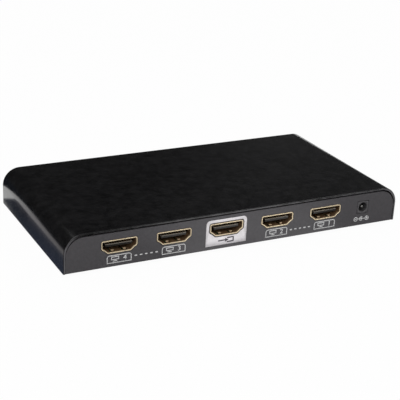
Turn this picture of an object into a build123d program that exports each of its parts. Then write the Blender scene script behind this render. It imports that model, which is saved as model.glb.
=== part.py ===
from build123d import *

import os

# A slim one-in, four-out video splitter. The origin is on the ground under the middle of the case,
# x runs along the row of sockets, y from the sockets to the back, and z up.

# Case
case_width = 150.0
case_depth = 75.0
case_height = 15.6
corner_radius = 8.0
cover_wall = 0.8
cover_edge_break = 0.15
cover_proud = 0.2

# Screw rails inside the cover, each with a channel for the screws along its whole length
rail_width = 6.0
rail_height = 5.0
rail_end_gap = 0.4
rail_edge_break = 0.6

# Tray, folded from one sheet along lines that are grooved first, so the folds are sharp outside
tray_sheet = 0.8
fold_inner_radius = 0.2
fold_outer_radius = 0.4
tray_side_gap = 0.15
panel_top_gap = 0.65
port_gap = 0.2

# Feet
foot_height = 2.0
foot_diameter = 10.0
foot_taper = 0.4
foot_inset_x = 17.0
foot_inset_y = 11.5

# Screws
cover_screw_inset_y = 15.5
cover_screw_length = 4.5
cover_thread = 2.5
cover_head_diameter = 4.6
cover_head_height = 1.3
board_screw_length = 3.8
board_thread = 2.0
board_head_diameter = 4.0
board_head_height = 1.4
screw_hole_gap = 0.2
thread_gap = 0.05

# Six-sided standoffs, welded to the tray's floor
standoff_height = 3.2
standoff_across_flats = 4.5

# Circuit board
board_thickness = 1.6
board_side_gap = 0.5
board_end_gap = 0.3
board_hole_inset = 3.5
front_hole_inset = 14.7
slot_gap = 0.15
lead_length_below = 0.6

# Video socket
port_names = "output_4", "output_3", "input", "output_2", "output_1"
port_place_shares = -0.3505, -0.1978, -0.0446, 0.1103, 0.264
opening_width = 13.9
opening_height = 4.55
opening_corner_shares = ((1.0, 1.0), (1.0, -0.222), (0.849, -0.486), (0.669, -1.0))
opening_bend_radius = 0.35
shell_sheet = 0.3
shell_length = 11.2
shell_lift = 0.3
rim_flare = 0.1
rim_depth = 0.8
rim_proud = 0.2
cavity_depth = 9.0
finger_width = 1.5
finger_slot = 0.3
finger_spacing = 5.0
finger_tip_depth = 1.2
finger_root_depth = 7.5
finger_bump = 0.45
finger_tip_rise = 0.15
finger_bump_share = 0.14
leg_width = 1.3
front_leg_depth = 3.6
rear_leg_depth = 9.2
leg_root_share = 0.6

# Socket's moulded insert and its contacts
insert_gap = 0.05
insert_wall = 0.8
tongue_width = 10.9
tongue_thickness = 1.1
tongue_lift = 0.4
tongue_setback = 0.7
tongue_edge_break = 0.15
contact_count = 10
contact_pitch = 1.0
contact_width = 0.34
contact_thickness = 0.2
contact_gap = 0.02
contact_setback = 0.5
contact_foot = 0.9

# Power socket
jack_place_share = 0.3887
jack_width = 5.4
jack_height = 5.4
jack_length = 11.0
jack_proud = 0.2
jack_bore = 4.0
jack_bore_depth = 8.6
jack_mouth_break = 0.25
jack_edge_break = 0.2
jack_pin_diameter = 1.3
jack_pin_setback = 0.5
jack_pin_tail_width = 2.0
jack_pin_tail_thickness = 0.4
jack_leaf_width = 1.6
jack_leaf_thickness = 0.25
jack_leaf_bump = 0.5
jack_leaf_gap = 0.1
jack_leaf_front_setback = 2.2
jack_leaf_back_inset = 1.6

# Flat-faced status lights, in holders that stand at the board's rear edge
light_names = "power_light", "light_1", "light_2", "light_3", "light_4"
light_place_shares = -0.17, -0.085, 0.0, 0.085, 0.17
light_width = 4.0
light_height = 1.8
light_axis_height = 3.0
light_break = 0.25
light_proud = 0.2
light_length = 6.2
light_hole_gap = 0.15
holder_width = 5.6
holder_height = 4.6
holder_depth = 4.6
holder_gap = 0.05
holder_setback = 0.4
light_lead_width = 0.45
light_lead_pitch = 1.27
light_lead_reach = 1.2

# Splitter chip under its heat sink
splitter_place_shares = (-0.05, 0.04)
splitter_size = 10.0
splitter_height = 0.9
splitter_pad_count = 6
splitter_pad_width = 0.6
splitter_pad_length = 0.4
splitter_pad_height = 0.2
splitter_pad_pitch = 1.4
pad_thickness = 0.5
pad_size = 10.0
sink_width = 24.0
sink_depth = 24.0
sink_base = 1.6
sink_fin_pitch = 3.0
sink_fin_thickness = 1.0
sink_cover_gap = 1.4

# Chips with gull-wing leads
controller_place_shares = (0.22, 0.08)
controller_width = 5.0
controller_depth = 4.4
controller_height = 1.0
controller_lead_count = 7
controller_lead_pitch = 0.65
memory_place_shares = (0.22, -0.14)
memory_width = 4.9
memory_depth = 3.9
memory_height = 1.5
memory_lead_count = 4
memory_lead_pitch = 1.27
regulator_place_shares = (0.33, 0.27)
regulator_width = 6.5
regulator_depth = 3.5
regulator_height = 1.6
regulator_lead_count = 3
regulator_lead_pitch = 2.3
package_gap = 0.1
package_edge_break = 0.2
lead_width = 0.3
wide_lead_width = 0.7
lead_thickness = 0.15
lead_reach = 1.0
lead_shoulder_share = 0.35
lead_knee_share = 0.6

# Smaller pieces on the board
crystal_place_shares = (0.035, -0.2)
crystal_width = 5.0
crystal_depth = 3.2
crystal_height = 1.2
fuse_place_shares = (0.42, -0.25)
fuse_width = 3.2
fuse_depth = 4.5
fuse_height = 1.2
diode_place_shares = (0.34, -0.25)
diode_width = 2.6
diode_depth = 4.5
diode_height = 2.2
inductor_place_shares = (0.42, 0.12)
inductor_size = 7.0
inductor_height = 4.0
inductor_core_share = 0.8
inductor_waist_share = 0.5
inductor_flange = 0.9
capacitor_place_shares = ((0.42, -0.06), (0.42, 0.31))
capacitor_diameter = 6.0
capacitor_height = 5.4
capacitor_base = 0.8
capacitor_base_size = 6.4
array_width = 2.5
array_depth = 1.0
array_height = 0.5
array_spacing = 4.0
array_row_gap = 1.0
part_length = 1.0
part_width = 0.5
part_height = 0.45
part_row_count = 4
part_row_pitch = 1.8
part_row_gap = 0.8
chip_ring_gap = 1.4
chip_ring_count = 3
chip_ring_pitch = 2.6
light_resistor_gap = 1.2

# One overrun serves every cut, and round pieces inside the closed case have this many flats
overrun = 1.0
flat_count = 12

# Levels and planes that follow from the sizes above
case_base = foot_height
tray_top = case_base + tray_sheet
board_base = tray_top + standoff_height
board_top = board_base + board_thickness
cover_top = case_base + case_height
ceiling = cover_top - cover_wall
lead_end = board_base - lead_length_below
cover_inside = case_width / 2 - cover_wall
panel_face = case_depth / 2 - cover_proud
panel_back = panel_face - tray_sheet
board_half_width = cover_inside - rail_width - board_side_gap
board_half_depth = panel_back - board_end_gap

socket_axis = board_top + shell_lift + shell_sheet + opening_height / 2
socket_front = -(panel_face + rim_proud)
shell_back = socket_front + shell_length
cavity_back = socket_front + cavity_depth
insert_back = shell_back + insert_wall
contact_tail = insert_back + contact_gap
contact_end = contact_tail + contact_thickness + contact_foot

jack_front = -(panel_face + jack_proud)
jack_back = jack_front + jack_length
jack_axis = board_top + jack_height / 2
light_axis = board_top + light_axis_height


def polygon(points):
    """A flat face with straight sides."""
    return make_face(Polyline(*points, close=True))


def span(middle, size):
    """The two ends of a size that is centred on a place."""
    return middle - size / 2, middle + size / 2


def block(x_span, y_span, z_span):
    """A rectangular block between three pairs of planes."""
    low, high = zip(x_span, y_span, z_span)
    sizes = [end - start for start, end in zip(low, high)]
    return Pos(*low) * Box(*sizes, align=(Align.MIN, Align.MIN, Align.MIN))


def prism_x(section, left, right):
    """Runs a section that is drawn in y and z from one x to another."""
    return extrude(Plane.YZ.offset(left) * section, right - left)


def prism_y(section, front, back):
    """Runs a section that is drawn in x and z from one y to another."""
    return extrude(Plane.XZ.offset(-back) * section, back - front)


def rod_y(x, z, diameter, front, back):
    """A round bar along y."""
    return prism_y(Pos(x, z) * Circle(diameter / 2), front, back)


def rod_z(x, y, diameter, low, high):
    """A round bar along z."""
    return extrude(Plane.XY.offset(low) * Pos(x, y) * Circle(diameter / 2), high - low)


def flat_sided_rod(x, y, diameter, low, high):
    """An upright bar with flats, across whose corners the diameter is measured."""
    section = Pos(x, y) * RegularPolygon(diameter / 2, flat_count)
    return extrude(Plane.XY.offset(low) * section, high - low)


def place_on_board(shares):
    """The x and y of a place on the board, given as shares of its width and depth."""
    x_share, y_share = shares
    return 2 * x_share * board_half_width, 2 * y_share * board_half_depth


def corners(x, y):
    """The four places that mirror one place over both middle planes."""
    return [(-x, -y), (x, -y), (-x, y), (x, y)]


def write(name, *solids):
    """Writes one node, which may be a group of separate solids."""
    whole = solids[0] if len(solids) == 1 else Compound(children=list(solids))
    export_step(whole, f"parts/{name}.step")


# Places that more than one piece uses
ports = {name: share * case_width for name, share in zip(port_names, port_place_shares)}
jack_x = jack_place_share * case_width
foot_places = corners(case_width / 2 - foot_inset_x, case_depth / 2 - foot_inset_y)
cover_screw_places = corners(cover_inside - rail_width / 2, case_depth / 2 - cover_screw_inset_y)
board_hole_x = board_half_width - board_hole_inset
board_screw_places = [
    (side * board_hole_x, y)
    for side in (-1, 1)
    for y in (front_hole_inset - board_half_depth, board_half_depth - board_hole_inset)
]
lights = {
    name: 2 * share * board_half_width for name, share in zip(light_names, light_place_shares)
}
holder_back = panel_back - holder_setback
holder_front = holder_back - holder_depth
light_tip = panel_face + light_proud
light_root = light_tip - light_length
light_lead_line = light_root - light_lead_reach


def arched_section(half_width, base, top, radius):
    """An upright section whose two upper corners are rounded."""
    plain = polygon([(-half_width, base), (half_width, base), (half_width, top), (-half_width, top)])
    return fillet(plain.vertices().group_by(Axis.Y)[-1], radius)


def socket_outline(growth, ease):
    """The keyed outline of a video socket about its own middle, grown evenly from the opening."""
    half_width, half_height = opening_width / 2, opening_height / 2
    right = [(x * half_width, z * half_height) for x, z in opening_corner_shares]
    outline = polygon(right + [(-x, z) for x, z in reversed(right)])
    if growth:
        outline = offset(outline, growth, kind=Kind.INTERSECTION)
    return ease(outline.vertices().group_by(Axis.Y)[-1], opening_bend_radius + growth)


def socket_prism(middle, growth, front, back, ease=fillet):
    """The socket's outline, run from one depth to another, its upper corners rounded or cut."""
    return prism_y(Pos(middle, socket_axis) * socket_outline(growth, ease), front, back)


def make_top_cover():
    """The extruded cover: an arched wall with screw rails, its lower corners rounded like the fold."""
    shape = prism_y(
        arched_section(case_width / 2, case_base, cover_top, corner_radius), -case_depth / 2, case_depth / 2
    )
    shape = chamfer(shape.faces().filter_by(Axis.Y).edges(), cover_edge_break)
    side = polygon([
        (-case_depth / 2, case_base), (case_depth / 2, case_base), (case_depth / 2, cover_top),
        (-case_depth / 2, cover_top),
    ])
    side = fillet(side.vertices().group_by(Axis.Y)[0], fold_outer_radius)
    shape &= prism_x(side, -case_width / 2, case_width / 2)
    inside = arched_section(cover_inside, case_base - overrun, ceiling, corner_radius - cover_wall)
    shape -= prism_y(inside, -case_depth / 2 - overrun, case_depth / 2 + overrun)
    rail_end = panel_back - rail_end_gap
    rail_top = tray_top + rail_height
    channel_top = case_base + cover_screw_length + thread_gap
    half_channel = cover_thread / 2 + thread_gap
    for side in (-1, 1):
        outer, inner = side * (cover_inside + cover_wall / 2), side * (cover_inside - rail_width)
        middle = side * (cover_inside - rail_width / 2)
        section = polygon([
            (outer, tray_top), (middle + side * half_channel, tray_top),
            (middle + side * half_channel, channel_top), (middle - side * half_channel, channel_top),
            (middle - side * half_channel, tray_top), (inner, tray_top),
            (inner, rail_top - rail_edge_break), (inner + side * rail_edge_break, rail_top),
            (outer, rail_top),
        ])
        shape += prism_y(section, -rail_end, rail_end)
    return shape


def make_base_tray():
    """The folded tray: a floor with the port panel in front and the light panel behind."""
    panel_top = ceiling - panel_top_gap
    half_width = cover_inside - tray_side_gap
    outside = polygon([
        (-panel_face, case_base), (panel_face, case_base), (panel_face, panel_top), (-panel_face, panel_top),
    ])
    outside = fillet(outside.vertices().group_by(Axis.Y)[0], fold_outer_radius)
    inside = polygon([
        (-panel_back, tray_top), (panel_back, tray_top), (panel_back, panel_top + overrun),
        (-panel_back, panel_top + overrun),
    ])
    inside = fillet(inside.vertices().group_by(Axis.Y)[0], fold_inner_radius)
    tray = prism_x(outside - inside, -half_width, half_width)
    corner = corner_radius - cover_wall - tray_side_gap
    tray &= prism_y(
        arched_section(half_width, case_base - overrun, panel_top, corner),
        -panel_face - overrun, panel_face + overrun,
    )
    front_cut = -panel_face - overrun, -panel_back + overrun / 2
    for middle in ports.values():
        tray -= socket_prism(middle, shell_sheet + rim_flare + port_gap, *front_cut)
    tray -= block(
        span(jack_x, jack_width + 2 * port_gap), front_cut,
        span(jack_axis, jack_height + 2 * port_gap),
    )
    for x in lights.values():
        tray -= block(
            span(x, light_width + 2 * light_hole_gap), (panel_back - overrun, panel_face + overrun),
            span(light_axis, light_height + 2 * light_hole_gap),
        )
    for x, y in cover_screw_places:
        tray -= rod_z(x, y, cover_thread + 2 * screw_hole_gap, case_base - overrun, tray_top + overrun)
    return tray


def make_foot(x, y):
    """One stuck-on rubber foot, a little narrower where it stands."""
    radius = foot_diameter / 2
    low_center = Align.CENTER, Align.CENTER, Align.MIN
    return Pos(x, y) * Cone(radius - foot_taper, radius, foot_height, align=low_center)


def make_cover_screw(x, y):
    """One screw that comes up through the tray into the channel of a rail."""
    head = rod_z(x, y, cover_head_diameter, case_base - cover_head_height, case_base)
    return head + flat_sided_rod(x, y, cover_thread, case_base, case_base + cover_screw_length)


def make_board_screw(x, y):
    """One screw that holds the board on its standoff."""
    head = flat_sided_rod(x, y, board_head_diameter, board_top, board_top + board_head_height)
    return head + flat_sided_rod(x, y, board_thread, board_top - board_screw_length, board_top)


def make_standoff(x, y):
    """One six-sided standoff with its threaded hole."""
    hexagon = Pos(x, y) * RegularPolygon(standoff_across_flats / 2, 6, major_radius=False)
    standoff = extrude(Plane.XY.offset(tray_top) * hexagon, standoff_height)
    hole_base = board_top - board_screw_length - thread_gap
    return standoff - flat_sided_rod(x, y, board_thread + 2 * thread_gap, hole_base, board_base + overrun)


def leg_spans(middle):
    """The x and y spans of a socket's four board legs."""
    wall = (opening_width + shell_sheet) / 2
    return [
        (span(middle + side * wall, shell_sheet), span(socket_front + depth, leg_width))
        for side in (-1, 1)
        for depth in (front_leg_depth, rear_leg_depth)
    ]


def widened(ends, gap):
    """A pair of ends, moved apart by a gap at each."""
    return ends[0] - gap, ends[1] + gap


def jack_leaf_tail_span():
    """The y span of the power leaf where it goes down through the board."""
    start = jack_back - jack_leaf_back_inset
    return start, start + jack_leaf_thickness


def light_lead_spans(x):
    """The x and y spans of the two leads of a light where they go through the board."""
    return [
        (span(x + side * light_lead_pitch / 2, light_lead_width), span(light_lead_line, light_lead_width))
        for side in (-1, 1)
    ]


def make_main_board():
    """The circuit board with its screw holes and the slots for every lead that goes through."""
    board = block(span(0, 2 * board_half_width), span(0, 2 * board_half_depth), (board_base, board_top))
    through = board_base - overrun, board_top + overrun
    for x, y in board_screw_places:
        board -= flat_sided_rod(x, y, board_thread + 2 * screw_hole_gap, *through)
    lead_spans = [spans for middle in ports.values() for spans in leg_spans(middle)]
    lead_spans.append((span(jack_x, jack_pin_tail_width), (jack_back, jack_back + jack_pin_tail_thickness)))
    lead_spans.append((span(jack_x, jack_leaf_width), jack_leaf_tail_span()))
    for x in lights.values():
        lead_spans += light_lead_spans(x)
    for x_span, y_span in lead_spans:
        board -= block(widened(x_span, slot_gap), widened(y_span, slot_gap), through)
    return board


def make_spring_finger(middle, side):
    """A contact finger of the shell's upper or lower wall, bowed into the opening."""
    root, tip = socket_front + finger_root_depth, socket_front + finger_tip_depth
    bump = tip + (root - tip) * finger_bump_share
    inner = [(root + finger_slot, 0), (root, 0), (bump, -finger_bump), (tip, -finger_tip_rise)]
    outer = [(y, rise + shell_sheet) for y, rise in reversed(inner)]
    wall = opening_height / 2
    section = polygon([(y, socket_axis + side * (wall + rise)) for y, rise in inner + outer])
    return prism_x(section, *span(middle, finger_width))


def make_socket_shell(port):
    """The stamped shell: a keyed tube with a thicker mouth, four spring fingers and four legs."""
    shell = socket_prism(port, shell_sheet, socket_front, shell_back)
    shell += socket_prism(port, shell_sheet + rim_flare, socket_front, socket_front + rim_depth)
    shell -= socket_prism(port, 0, socket_front - overrun, shell_back + overrun)
    for x_span, y_span in leg_spans(port):
        leg_top = socket_axis + leg_root_share * opening_height / 2
        shell += block(x_span, y_span, (lead_end, leg_top))
    tip, root = socket_front + finger_tip_depth, socket_front + finger_root_depth
    for side in (-1, 1):
        for middle in span(port, finger_spacing):
            wall = socket_axis + side * opening_height / 2
            shell -= block(
                span(middle, finger_width + 2 * finger_slot), (tip - finger_slot, root),
                span(wall, 2 * (shell_sheet + rim_flare)),
            )
            shell += make_spring_finger(middle, side)
    return shell


def contact_rows():
    """The two rows of contacts: each one's places across the socket and the heights of its run."""
    top = socket_axis + tongue_lift + tongue_thickness / 2
    base = top - tongue_thickness
    upper = [(index - (contact_count - 1) / 2) * contact_pitch for index in range(contact_count)]
    lower = [(start + end) / 2 for start, end in zip(upper, upper[1:])]
    return (upper, (top - contact_thickness, top)), (lower, (base, base + contact_thickness))


def make_socket_insert(port):
    """The moulded insert: a plug in the shell's back, a rear wall on the board and the tongue."""
    insert = socket_prism(port, -insert_gap, cavity_back, shell_back, chamfer)
    insert += block(
        span(port, opening_width), (shell_back, insert_back), (board_top, socket_axis + opening_height / 2)
    )
    tongue_tip = socket_front + tongue_setback
    tongue = block(
        span(port, tongue_width), (tongue_tip, cavity_back + overrun),
        span(socket_axis + tongue_lift, tongue_thickness),
    )
    insert += chamfer(tongue.faces().sort_by(Axis.Y)[0].edges(), tongue_edge_break)
    for row, heights in contact_rows():
        insert -= block(
            span(port, len(row) * contact_pitch),
            (tongue_tip + contact_setback - contact_gap, insert_back + overrun),
            widened(heights, contact_gap),
        )
    return insert


def make_socket_contacts(port):
    """Nineteen contacts in two rows: a run along the tongue, a drop behind it and a foot."""
    start = socket_front + tongue_setback + contact_setback
    drop = contact_tail + contact_thickness
    foot = board_top + contact_thickness
    contacts = []
    for row, (low, high) in contact_rows():
        section = polygon([
            (start, high), (drop, high), (drop, foot), (contact_end, foot),
            (contact_end, board_top), (contact_tail, board_top), (contact_tail, low), (start, low),
        ])
        contacts += [prism_x(section, *span(port + x, contact_width)) for x in row]
    return contacts


def make_jack_housing():
    """The power socket's moulded block with its round mouth and the leaf's groove."""
    housing = block(span(jack_x, jack_width), (jack_front, jack_back), (board_top, board_top + jack_height))
    housing = chamfer(housing.edges().filter_by(Axis.Y), jack_edge_break)
    housing -= rod_y(jack_x, jack_axis, jack_bore, jack_front - overrun, jack_front + jack_bore_depth)
    mouth = housing.faces().sort_by(Axis.Y)[0].inner_wires()[0].edges()
    housing = chamfer(mouth, jack_mouth_break)
    housing -= rod_y(jack_x, jack_axis, jack_pin_diameter, jack_front, jack_back + overrun)
    tail = jack_leaf_tail_span()
    groove_top = board_top + (jack_height - jack_bore) / 2 + jack_leaf_gap
    groove_base = groove_top - 2 * jack_leaf_gap - jack_leaf_thickness
    width = widened(span(jack_x, jack_leaf_width), jack_leaf_gap)
    leaf_front = jack_front + jack_leaf_front_setback - jack_leaf_gap
    housing -= block(width, (leaf_front, tail[1] + jack_leaf_gap), (groove_base, jack_axis - jack_bore / 4))
    housing -= block(width, widened(tail, jack_leaf_gap), (board_top - overrun, groove_top))
    return housing


def make_jack_pin():
    """The centre pin with its tail down the back of the housing."""
    tip = jack_front + jack_pin_setback
    pin = rod_y(jack_x, jack_axis, jack_pin_diameter, tip, jack_back)
    pin = chamfer(pin.edges().sort_by(Axis.Y)[0], jack_pin_diameter / 4)
    tail_back = jack_back + jack_pin_tail_thickness
    return pin + block(
        span(jack_x, jack_pin_tail_width), (jack_back, tail_back), (lead_end, jack_axis + jack_pin_diameter)
    )


def make_jack_leaf():
    """The side contact: a bowed leaf along the bore's floor that ends in a tail."""
    floor = board_top + (jack_height - jack_bore) / 2 - jack_leaf_thickness
    front = jack_front + jack_leaf_front_setback
    tail_front, tail_back = jack_leaf_tail_span()
    bow = (front + tail_front) / 2
    section = polygon([
        (front, floor), (bow, floor + jack_leaf_bump), (tail_front, floor), (tail_front, lead_end),
        (tail_back, lead_end), (tail_back, floor + jack_leaf_thickness),
        (tail_front, floor + jack_leaf_thickness), (bow, floor + jack_leaf_bump + jack_leaf_thickness),
        (front, floor + jack_leaf_thickness),
    ])
    return prism_x(section, *span(jack_x, jack_leaf_width))


def make_light(x):
    """One flat-faced status light that ends just proud of the rear panel."""
    light = block(span(x, light_width), (light_root, light_tip), span(light_axis, light_height))
    return chamfer(light.faces().sort_by(Axis.Y)[-1].edges(), light_break)


def make_light_holder(x):
    """The black holder that keeps one light level at the board's edge."""
    holder = block(span(x, holder_width), (holder_front, holder_back), (board_top, board_top + holder_height))
    return holder - block(
        span(x, light_width + 2 * holder_gap), (holder_front - overrun, holder_back + overrun),
        span(light_axis, light_height + 2 * holder_gap),
    )


def make_light_leads():
    """Two bent leads for every light."""
    leads = []
    level = span(light_axis, light_lead_width)
    for middle in lights.values():
        for x_span, (front, back) in light_lead_spans(middle):
            section = polygon([
                (light_root, level[0]), (light_root, level[1]), (front, level[1]),
                (front, lead_end), (back, lead_end), (back, level[0]),
            ])
            leads.append(prism_x(section, *x_span))
    return leads


def make_package(shares, width, depth, height, lift):
    """A moulded chip body with eased upper edges."""
    x, y = place_on_board(shares)
    base = board_top + lift
    body = block(span(x, width), span(y, depth), (base, base + height))
    return chamfer(body.edges().group_by(Axis.Z)[-1], package_edge_break)


def make_gull_leads(shares, depth, height, count, pitch, width):
    """Two rows of bent leads, from the middle of a chip's sides down to the board."""
    x, y = place_on_board(shares)
    middle = board_top + package_gap + height / 2
    shoulder, knee = lead_reach * lead_shoulder_share, lead_reach * lead_knee_share
    outline = [
        (0, middle), (shoulder, middle), (knee, board_top + lead_thickness),
        (lead_reach, board_top + lead_thickness), (lead_reach, board_top),
        (knee - lead_thickness, board_top), (shoulder - lead_thickness, middle - lead_thickness),
        (0, middle - lead_thickness),
    ]
    leads = []
    for side in (-1, 1):
        section = polygon([(y + side * (depth / 2 + out), z) for out, z in outline])
        for index in range(count):
            lead_x = x + (index - (count - 1) / 2) * pitch
            leads.append(prism_x(section, *span(lead_x, width)))
    return leads


def make_splitter_pads():
    """The solder pads round the four sides of the splitter chip."""
    x, y = place_on_board(splitter_place_shares)
    z_span = board_top, board_top + splitter_pad_height
    out = splitter_size / 2, splitter_size / 2 + splitter_pad_length
    pads = []
    for index in range(splitter_pad_count):
        along = span((index - (splitter_pad_count - 1) / 2) * splitter_pad_pitch, splitter_pad_width)
        for turn in range(4):
            pad = block(along, out, z_span)
            pads.append(Pos(x, y) * Rot(Z=turn * 90) * pad)
    return pads


def make_heat_sink():
    """The finned heat sink, as tall as the room under the cover allows."""
    x, y = place_on_board(splitter_place_shares)
    base = board_top + splitter_height + pad_thickness
    top = ceiling - sink_cover_gap
    sink = block(span(x, sink_width), span(y, sink_depth), (base, top))
    groove = sink_fin_pitch - sink_fin_thickness
    count = int((sink_width - sink_fin_thickness) / sink_fin_pitch)
    for index in range(count):
        middle = x + (index - (count - 1) / 2) * sink_fin_pitch
        depth = sink_depth + 2 * overrun
        sink -= block(span(middle, groove), span(y, depth), (base + sink_base, top + overrun))
    return sink


def make_inductor():
    """A shielded coil: a square body with a round core let into its top."""
    x, y = place_on_board(inductor_place_shares)
    top = board_top + inductor_height
    body = block(span(x, inductor_size), span(y, inductor_size), (board_top, top))
    body = chamfer(body.edges().filter_by(Axis.Z), inductor_flange)
    ring = flat_sided_rod(x, y, inductor_size * inductor_core_share, top - inductor_flange, top + overrun)
    ring -= flat_sided_rod(x, y, inductor_size * inductor_waist_share, top - inductor_flange, top + overrun)
    return body - ring


def make_capacitor_cans():
    """The two round cans of the bulk capacitors."""
    levels = board_top + capacitor_base, board_top + capacitor_height
    places = map(place_on_board, capacitor_place_shares)
    return [flat_sided_rod(x, y, capacitor_diameter, *levels) for x, y in places]


def make_capacitor_bases():
    """The square bases under the bulk capacitors, with two cut corners."""
    bases = []
    levels = board_top, board_top + capacitor_base
    for x, y in map(place_on_board, capacitor_place_shares):
        base = block(span(x, capacitor_base_size), span(y, capacitor_base_size), levels)
        left = base.edges().filter_by(Axis.Z).group_by(Axis.X)[0]
        bases.append(chamfer(left, capacitor_base_size / 6))
    return bases


def make_row(middle, y, count, pitch, x_size, y_size, height):
    """A row of small blocks on the board."""
    places = [middle + (index - (count - 1) / 2) * pitch for index in range(count)]
    return [block(span(x, x_size), span(y, y_size), (board_top, board_top + height)) for x in places]


array_row = contact_end + array_row_gap + array_depth / 2
capacitor_row = array_row + array_depth / 2 + part_row_gap + part_length / 2
resistor_row = capacitor_row + part_row_gap + part_length


def make_surge_arrays():
    """Two surge arrays behind every socket."""
    size = array_width, array_depth, array_height
    return [piece for x in ports.values() for piece in make_row(x, array_row, 2, array_spacing, *size)]


def make_chip_capacitors():
    """A row of small capacitors behind every socket and a ring of them round the splitter chip."""
    size = part_width, part_length, part_height
    pieces = []
    for x in ports.values():
        pieces += make_row(x, capacitor_row, part_row_count, part_row_pitch, *size)
    x, y = place_on_board(splitter_place_shares)
    for side in (-1, 1):
        row = y + side * (splitter_size / 2 + splitter_pad_length + chip_ring_gap)
        pieces += make_row(x, row, chip_ring_count, chip_ring_pitch, *size)
    return pieces


def make_chip_resistors():
    """A row of small resistors behind every socket and one in front of every light."""
    size = part_width, part_length, part_height
    pieces = []
    for x in ports.values():
        pieces += make_row(x, resistor_row, part_row_count, part_row_pitch, *size)
    for x in lights.values():
        pieces += make_row(x, light_lead_line - light_resistor_gap, 1, 0, *size)
    return pieces


def write_case():
    """Writes the case, its feet and the screws that close it."""
    write("top_cover", make_top_cover())
    write("base_tray", make_base_tray())
    names = "foot_front_left", "foot_front_right", "foot_rear_left", "foot_rear_right"
    for name, place in zip(names, foot_places):
        write(name, make_foot(*place))
    write("cover_screws", *[make_cover_screw(*place) for place in cover_screw_places])


def write_board():
    """Writes the circuit board and what carries it."""
    write("board_standoffs", *[make_standoff(*place) for place in board_screw_places])
    write("main_board", make_main_board())
    write("board_screws", *[make_board_screw(*place) for place in board_screw_places])


def write_sockets():
    """Writes the five video sockets and the power socket."""
    for name, middle in ports.items():
        write(f"{name}_shell", make_socket_shell(middle))
        write(f"{name}_insert", make_socket_insert(middle))
        write(f"{name}_contacts", *make_socket_contacts(middle))
    write("power_jack_housing", make_jack_housing())
    write("power_jack_pin", make_jack_pin())
    write("power_jack_leaf", make_jack_leaf())


def write_lights():
    """Writes the status lights, their holders and their leads."""
    for name, x in lights.items():
        write(name, make_light(x))
        write(f"{name}_holder", make_light_holder(x))
    write("light_leads", *make_light_leads())


def write_chips():
    """Writes the chips, their leads and the heat sink."""
    splitter = make_package(splitter_place_shares, splitter_size, splitter_size, splitter_height, 0)
    write("splitter_chip", splitter)
    write("splitter_chip_pads", *make_splitter_pads())
    x, y = place_on_board(splitter_place_shares)
    pad_base = board_top + splitter_height
    write("thermal_pad", block(span(x, pad_size), span(y, pad_size), (pad_base, pad_base + pad_thickness)))
    write("heat_sink", make_heat_sink())
    chips = {
        "controller": (
            controller_place_shares, controller_width, controller_depth, controller_height,
            controller_lead_count, controller_lead_pitch, lead_width,
        ),
        "memory": (
            memory_place_shares, memory_width, memory_depth, memory_height,
            memory_lead_count, memory_lead_pitch, lead_width,
        ),
        "regulator": (
            regulator_place_shares, regulator_width, regulator_depth, regulator_height,
            regulator_lead_count, regulator_lead_pitch, wide_lead_width,
        ),
    }
    for name, (shares, width, depth, height, count, pitch, each) in chips.items():
        write(f"{name}_chip", make_package(shares, width, depth, height, package_gap))
        write(f"{name}_leads", *make_gull_leads(shares, depth, height, count, pitch, each))


def write_small_pieces():
    """Writes the smaller pieces that are soldered to the board."""
    write("crystal", make_package(crystal_place_shares, crystal_width, crystal_depth, crystal_height, 0))
    write("resettable_fuse", make_package(fuse_place_shares, fuse_width, fuse_depth, fuse_height, 0))
    write("input_diode", make_package(diode_place_shares, diode_width, diode_depth, diode_height, 0))
    write("power_inductor", make_inductor())
    write("capacitor_cans", *make_capacitor_cans())
    write("capacitor_bases", *make_capacitor_bases())
    write("surge_arrays", *make_surge_arrays())
    write("chip_capacitors", *make_chip_capacitors())
    write("chip_resistors", *make_chip_resistors())


os.makedirs("parts", exist_ok=True)
write_case()
write_board()
write_sockets()
write_lights()
write_chips()
write_small_pieces()
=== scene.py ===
"""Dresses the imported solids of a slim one-in, four-out video splitter and lights them in a pale studio."""

import logging
import math
from collections.abc import Callable
from dataclasses import dataclass
from enum import Enum

import bmesh
import bpy
from mathutils import Matrix, Vector


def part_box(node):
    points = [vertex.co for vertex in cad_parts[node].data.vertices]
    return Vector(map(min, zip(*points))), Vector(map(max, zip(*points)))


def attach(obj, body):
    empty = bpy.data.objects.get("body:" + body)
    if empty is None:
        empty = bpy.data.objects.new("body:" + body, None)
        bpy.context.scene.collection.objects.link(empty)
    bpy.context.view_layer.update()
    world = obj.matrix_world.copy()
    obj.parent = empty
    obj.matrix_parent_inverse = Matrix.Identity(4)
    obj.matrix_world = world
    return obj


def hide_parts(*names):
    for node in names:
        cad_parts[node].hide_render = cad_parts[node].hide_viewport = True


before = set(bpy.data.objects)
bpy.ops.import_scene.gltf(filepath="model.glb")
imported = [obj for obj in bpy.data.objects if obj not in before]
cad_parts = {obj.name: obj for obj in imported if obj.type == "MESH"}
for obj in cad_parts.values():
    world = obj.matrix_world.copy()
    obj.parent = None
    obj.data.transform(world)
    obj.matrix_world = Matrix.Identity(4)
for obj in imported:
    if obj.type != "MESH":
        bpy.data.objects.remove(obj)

log = logging.getLogger("splitter")

MM = 0.001
ROOT = "root"
# An edge that bends by more degrees than this stays sharp.
SHARP_ANGLE = 35.0
# Points closer than this are merged, in metres.
MERGE_GAP = 1e-7
# A turned profile starts and ends this far beside its axis, in millimetres.
AXIS_GAP = 0.001
PORTS = ("output_4", "output_3", "input", "output_2", "output_1")
NUMBER = "NodeSocketFloat"
TINT = "NodeSocketColor"
WHITE = (1.0, 1.0, 1.0)
Colour = tuple[float, float, float]
Flat = tuple[float, float]
Triple = tuple[float, float, float]
Loop = list[Flat]
Ring = list[Vector]


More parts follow.
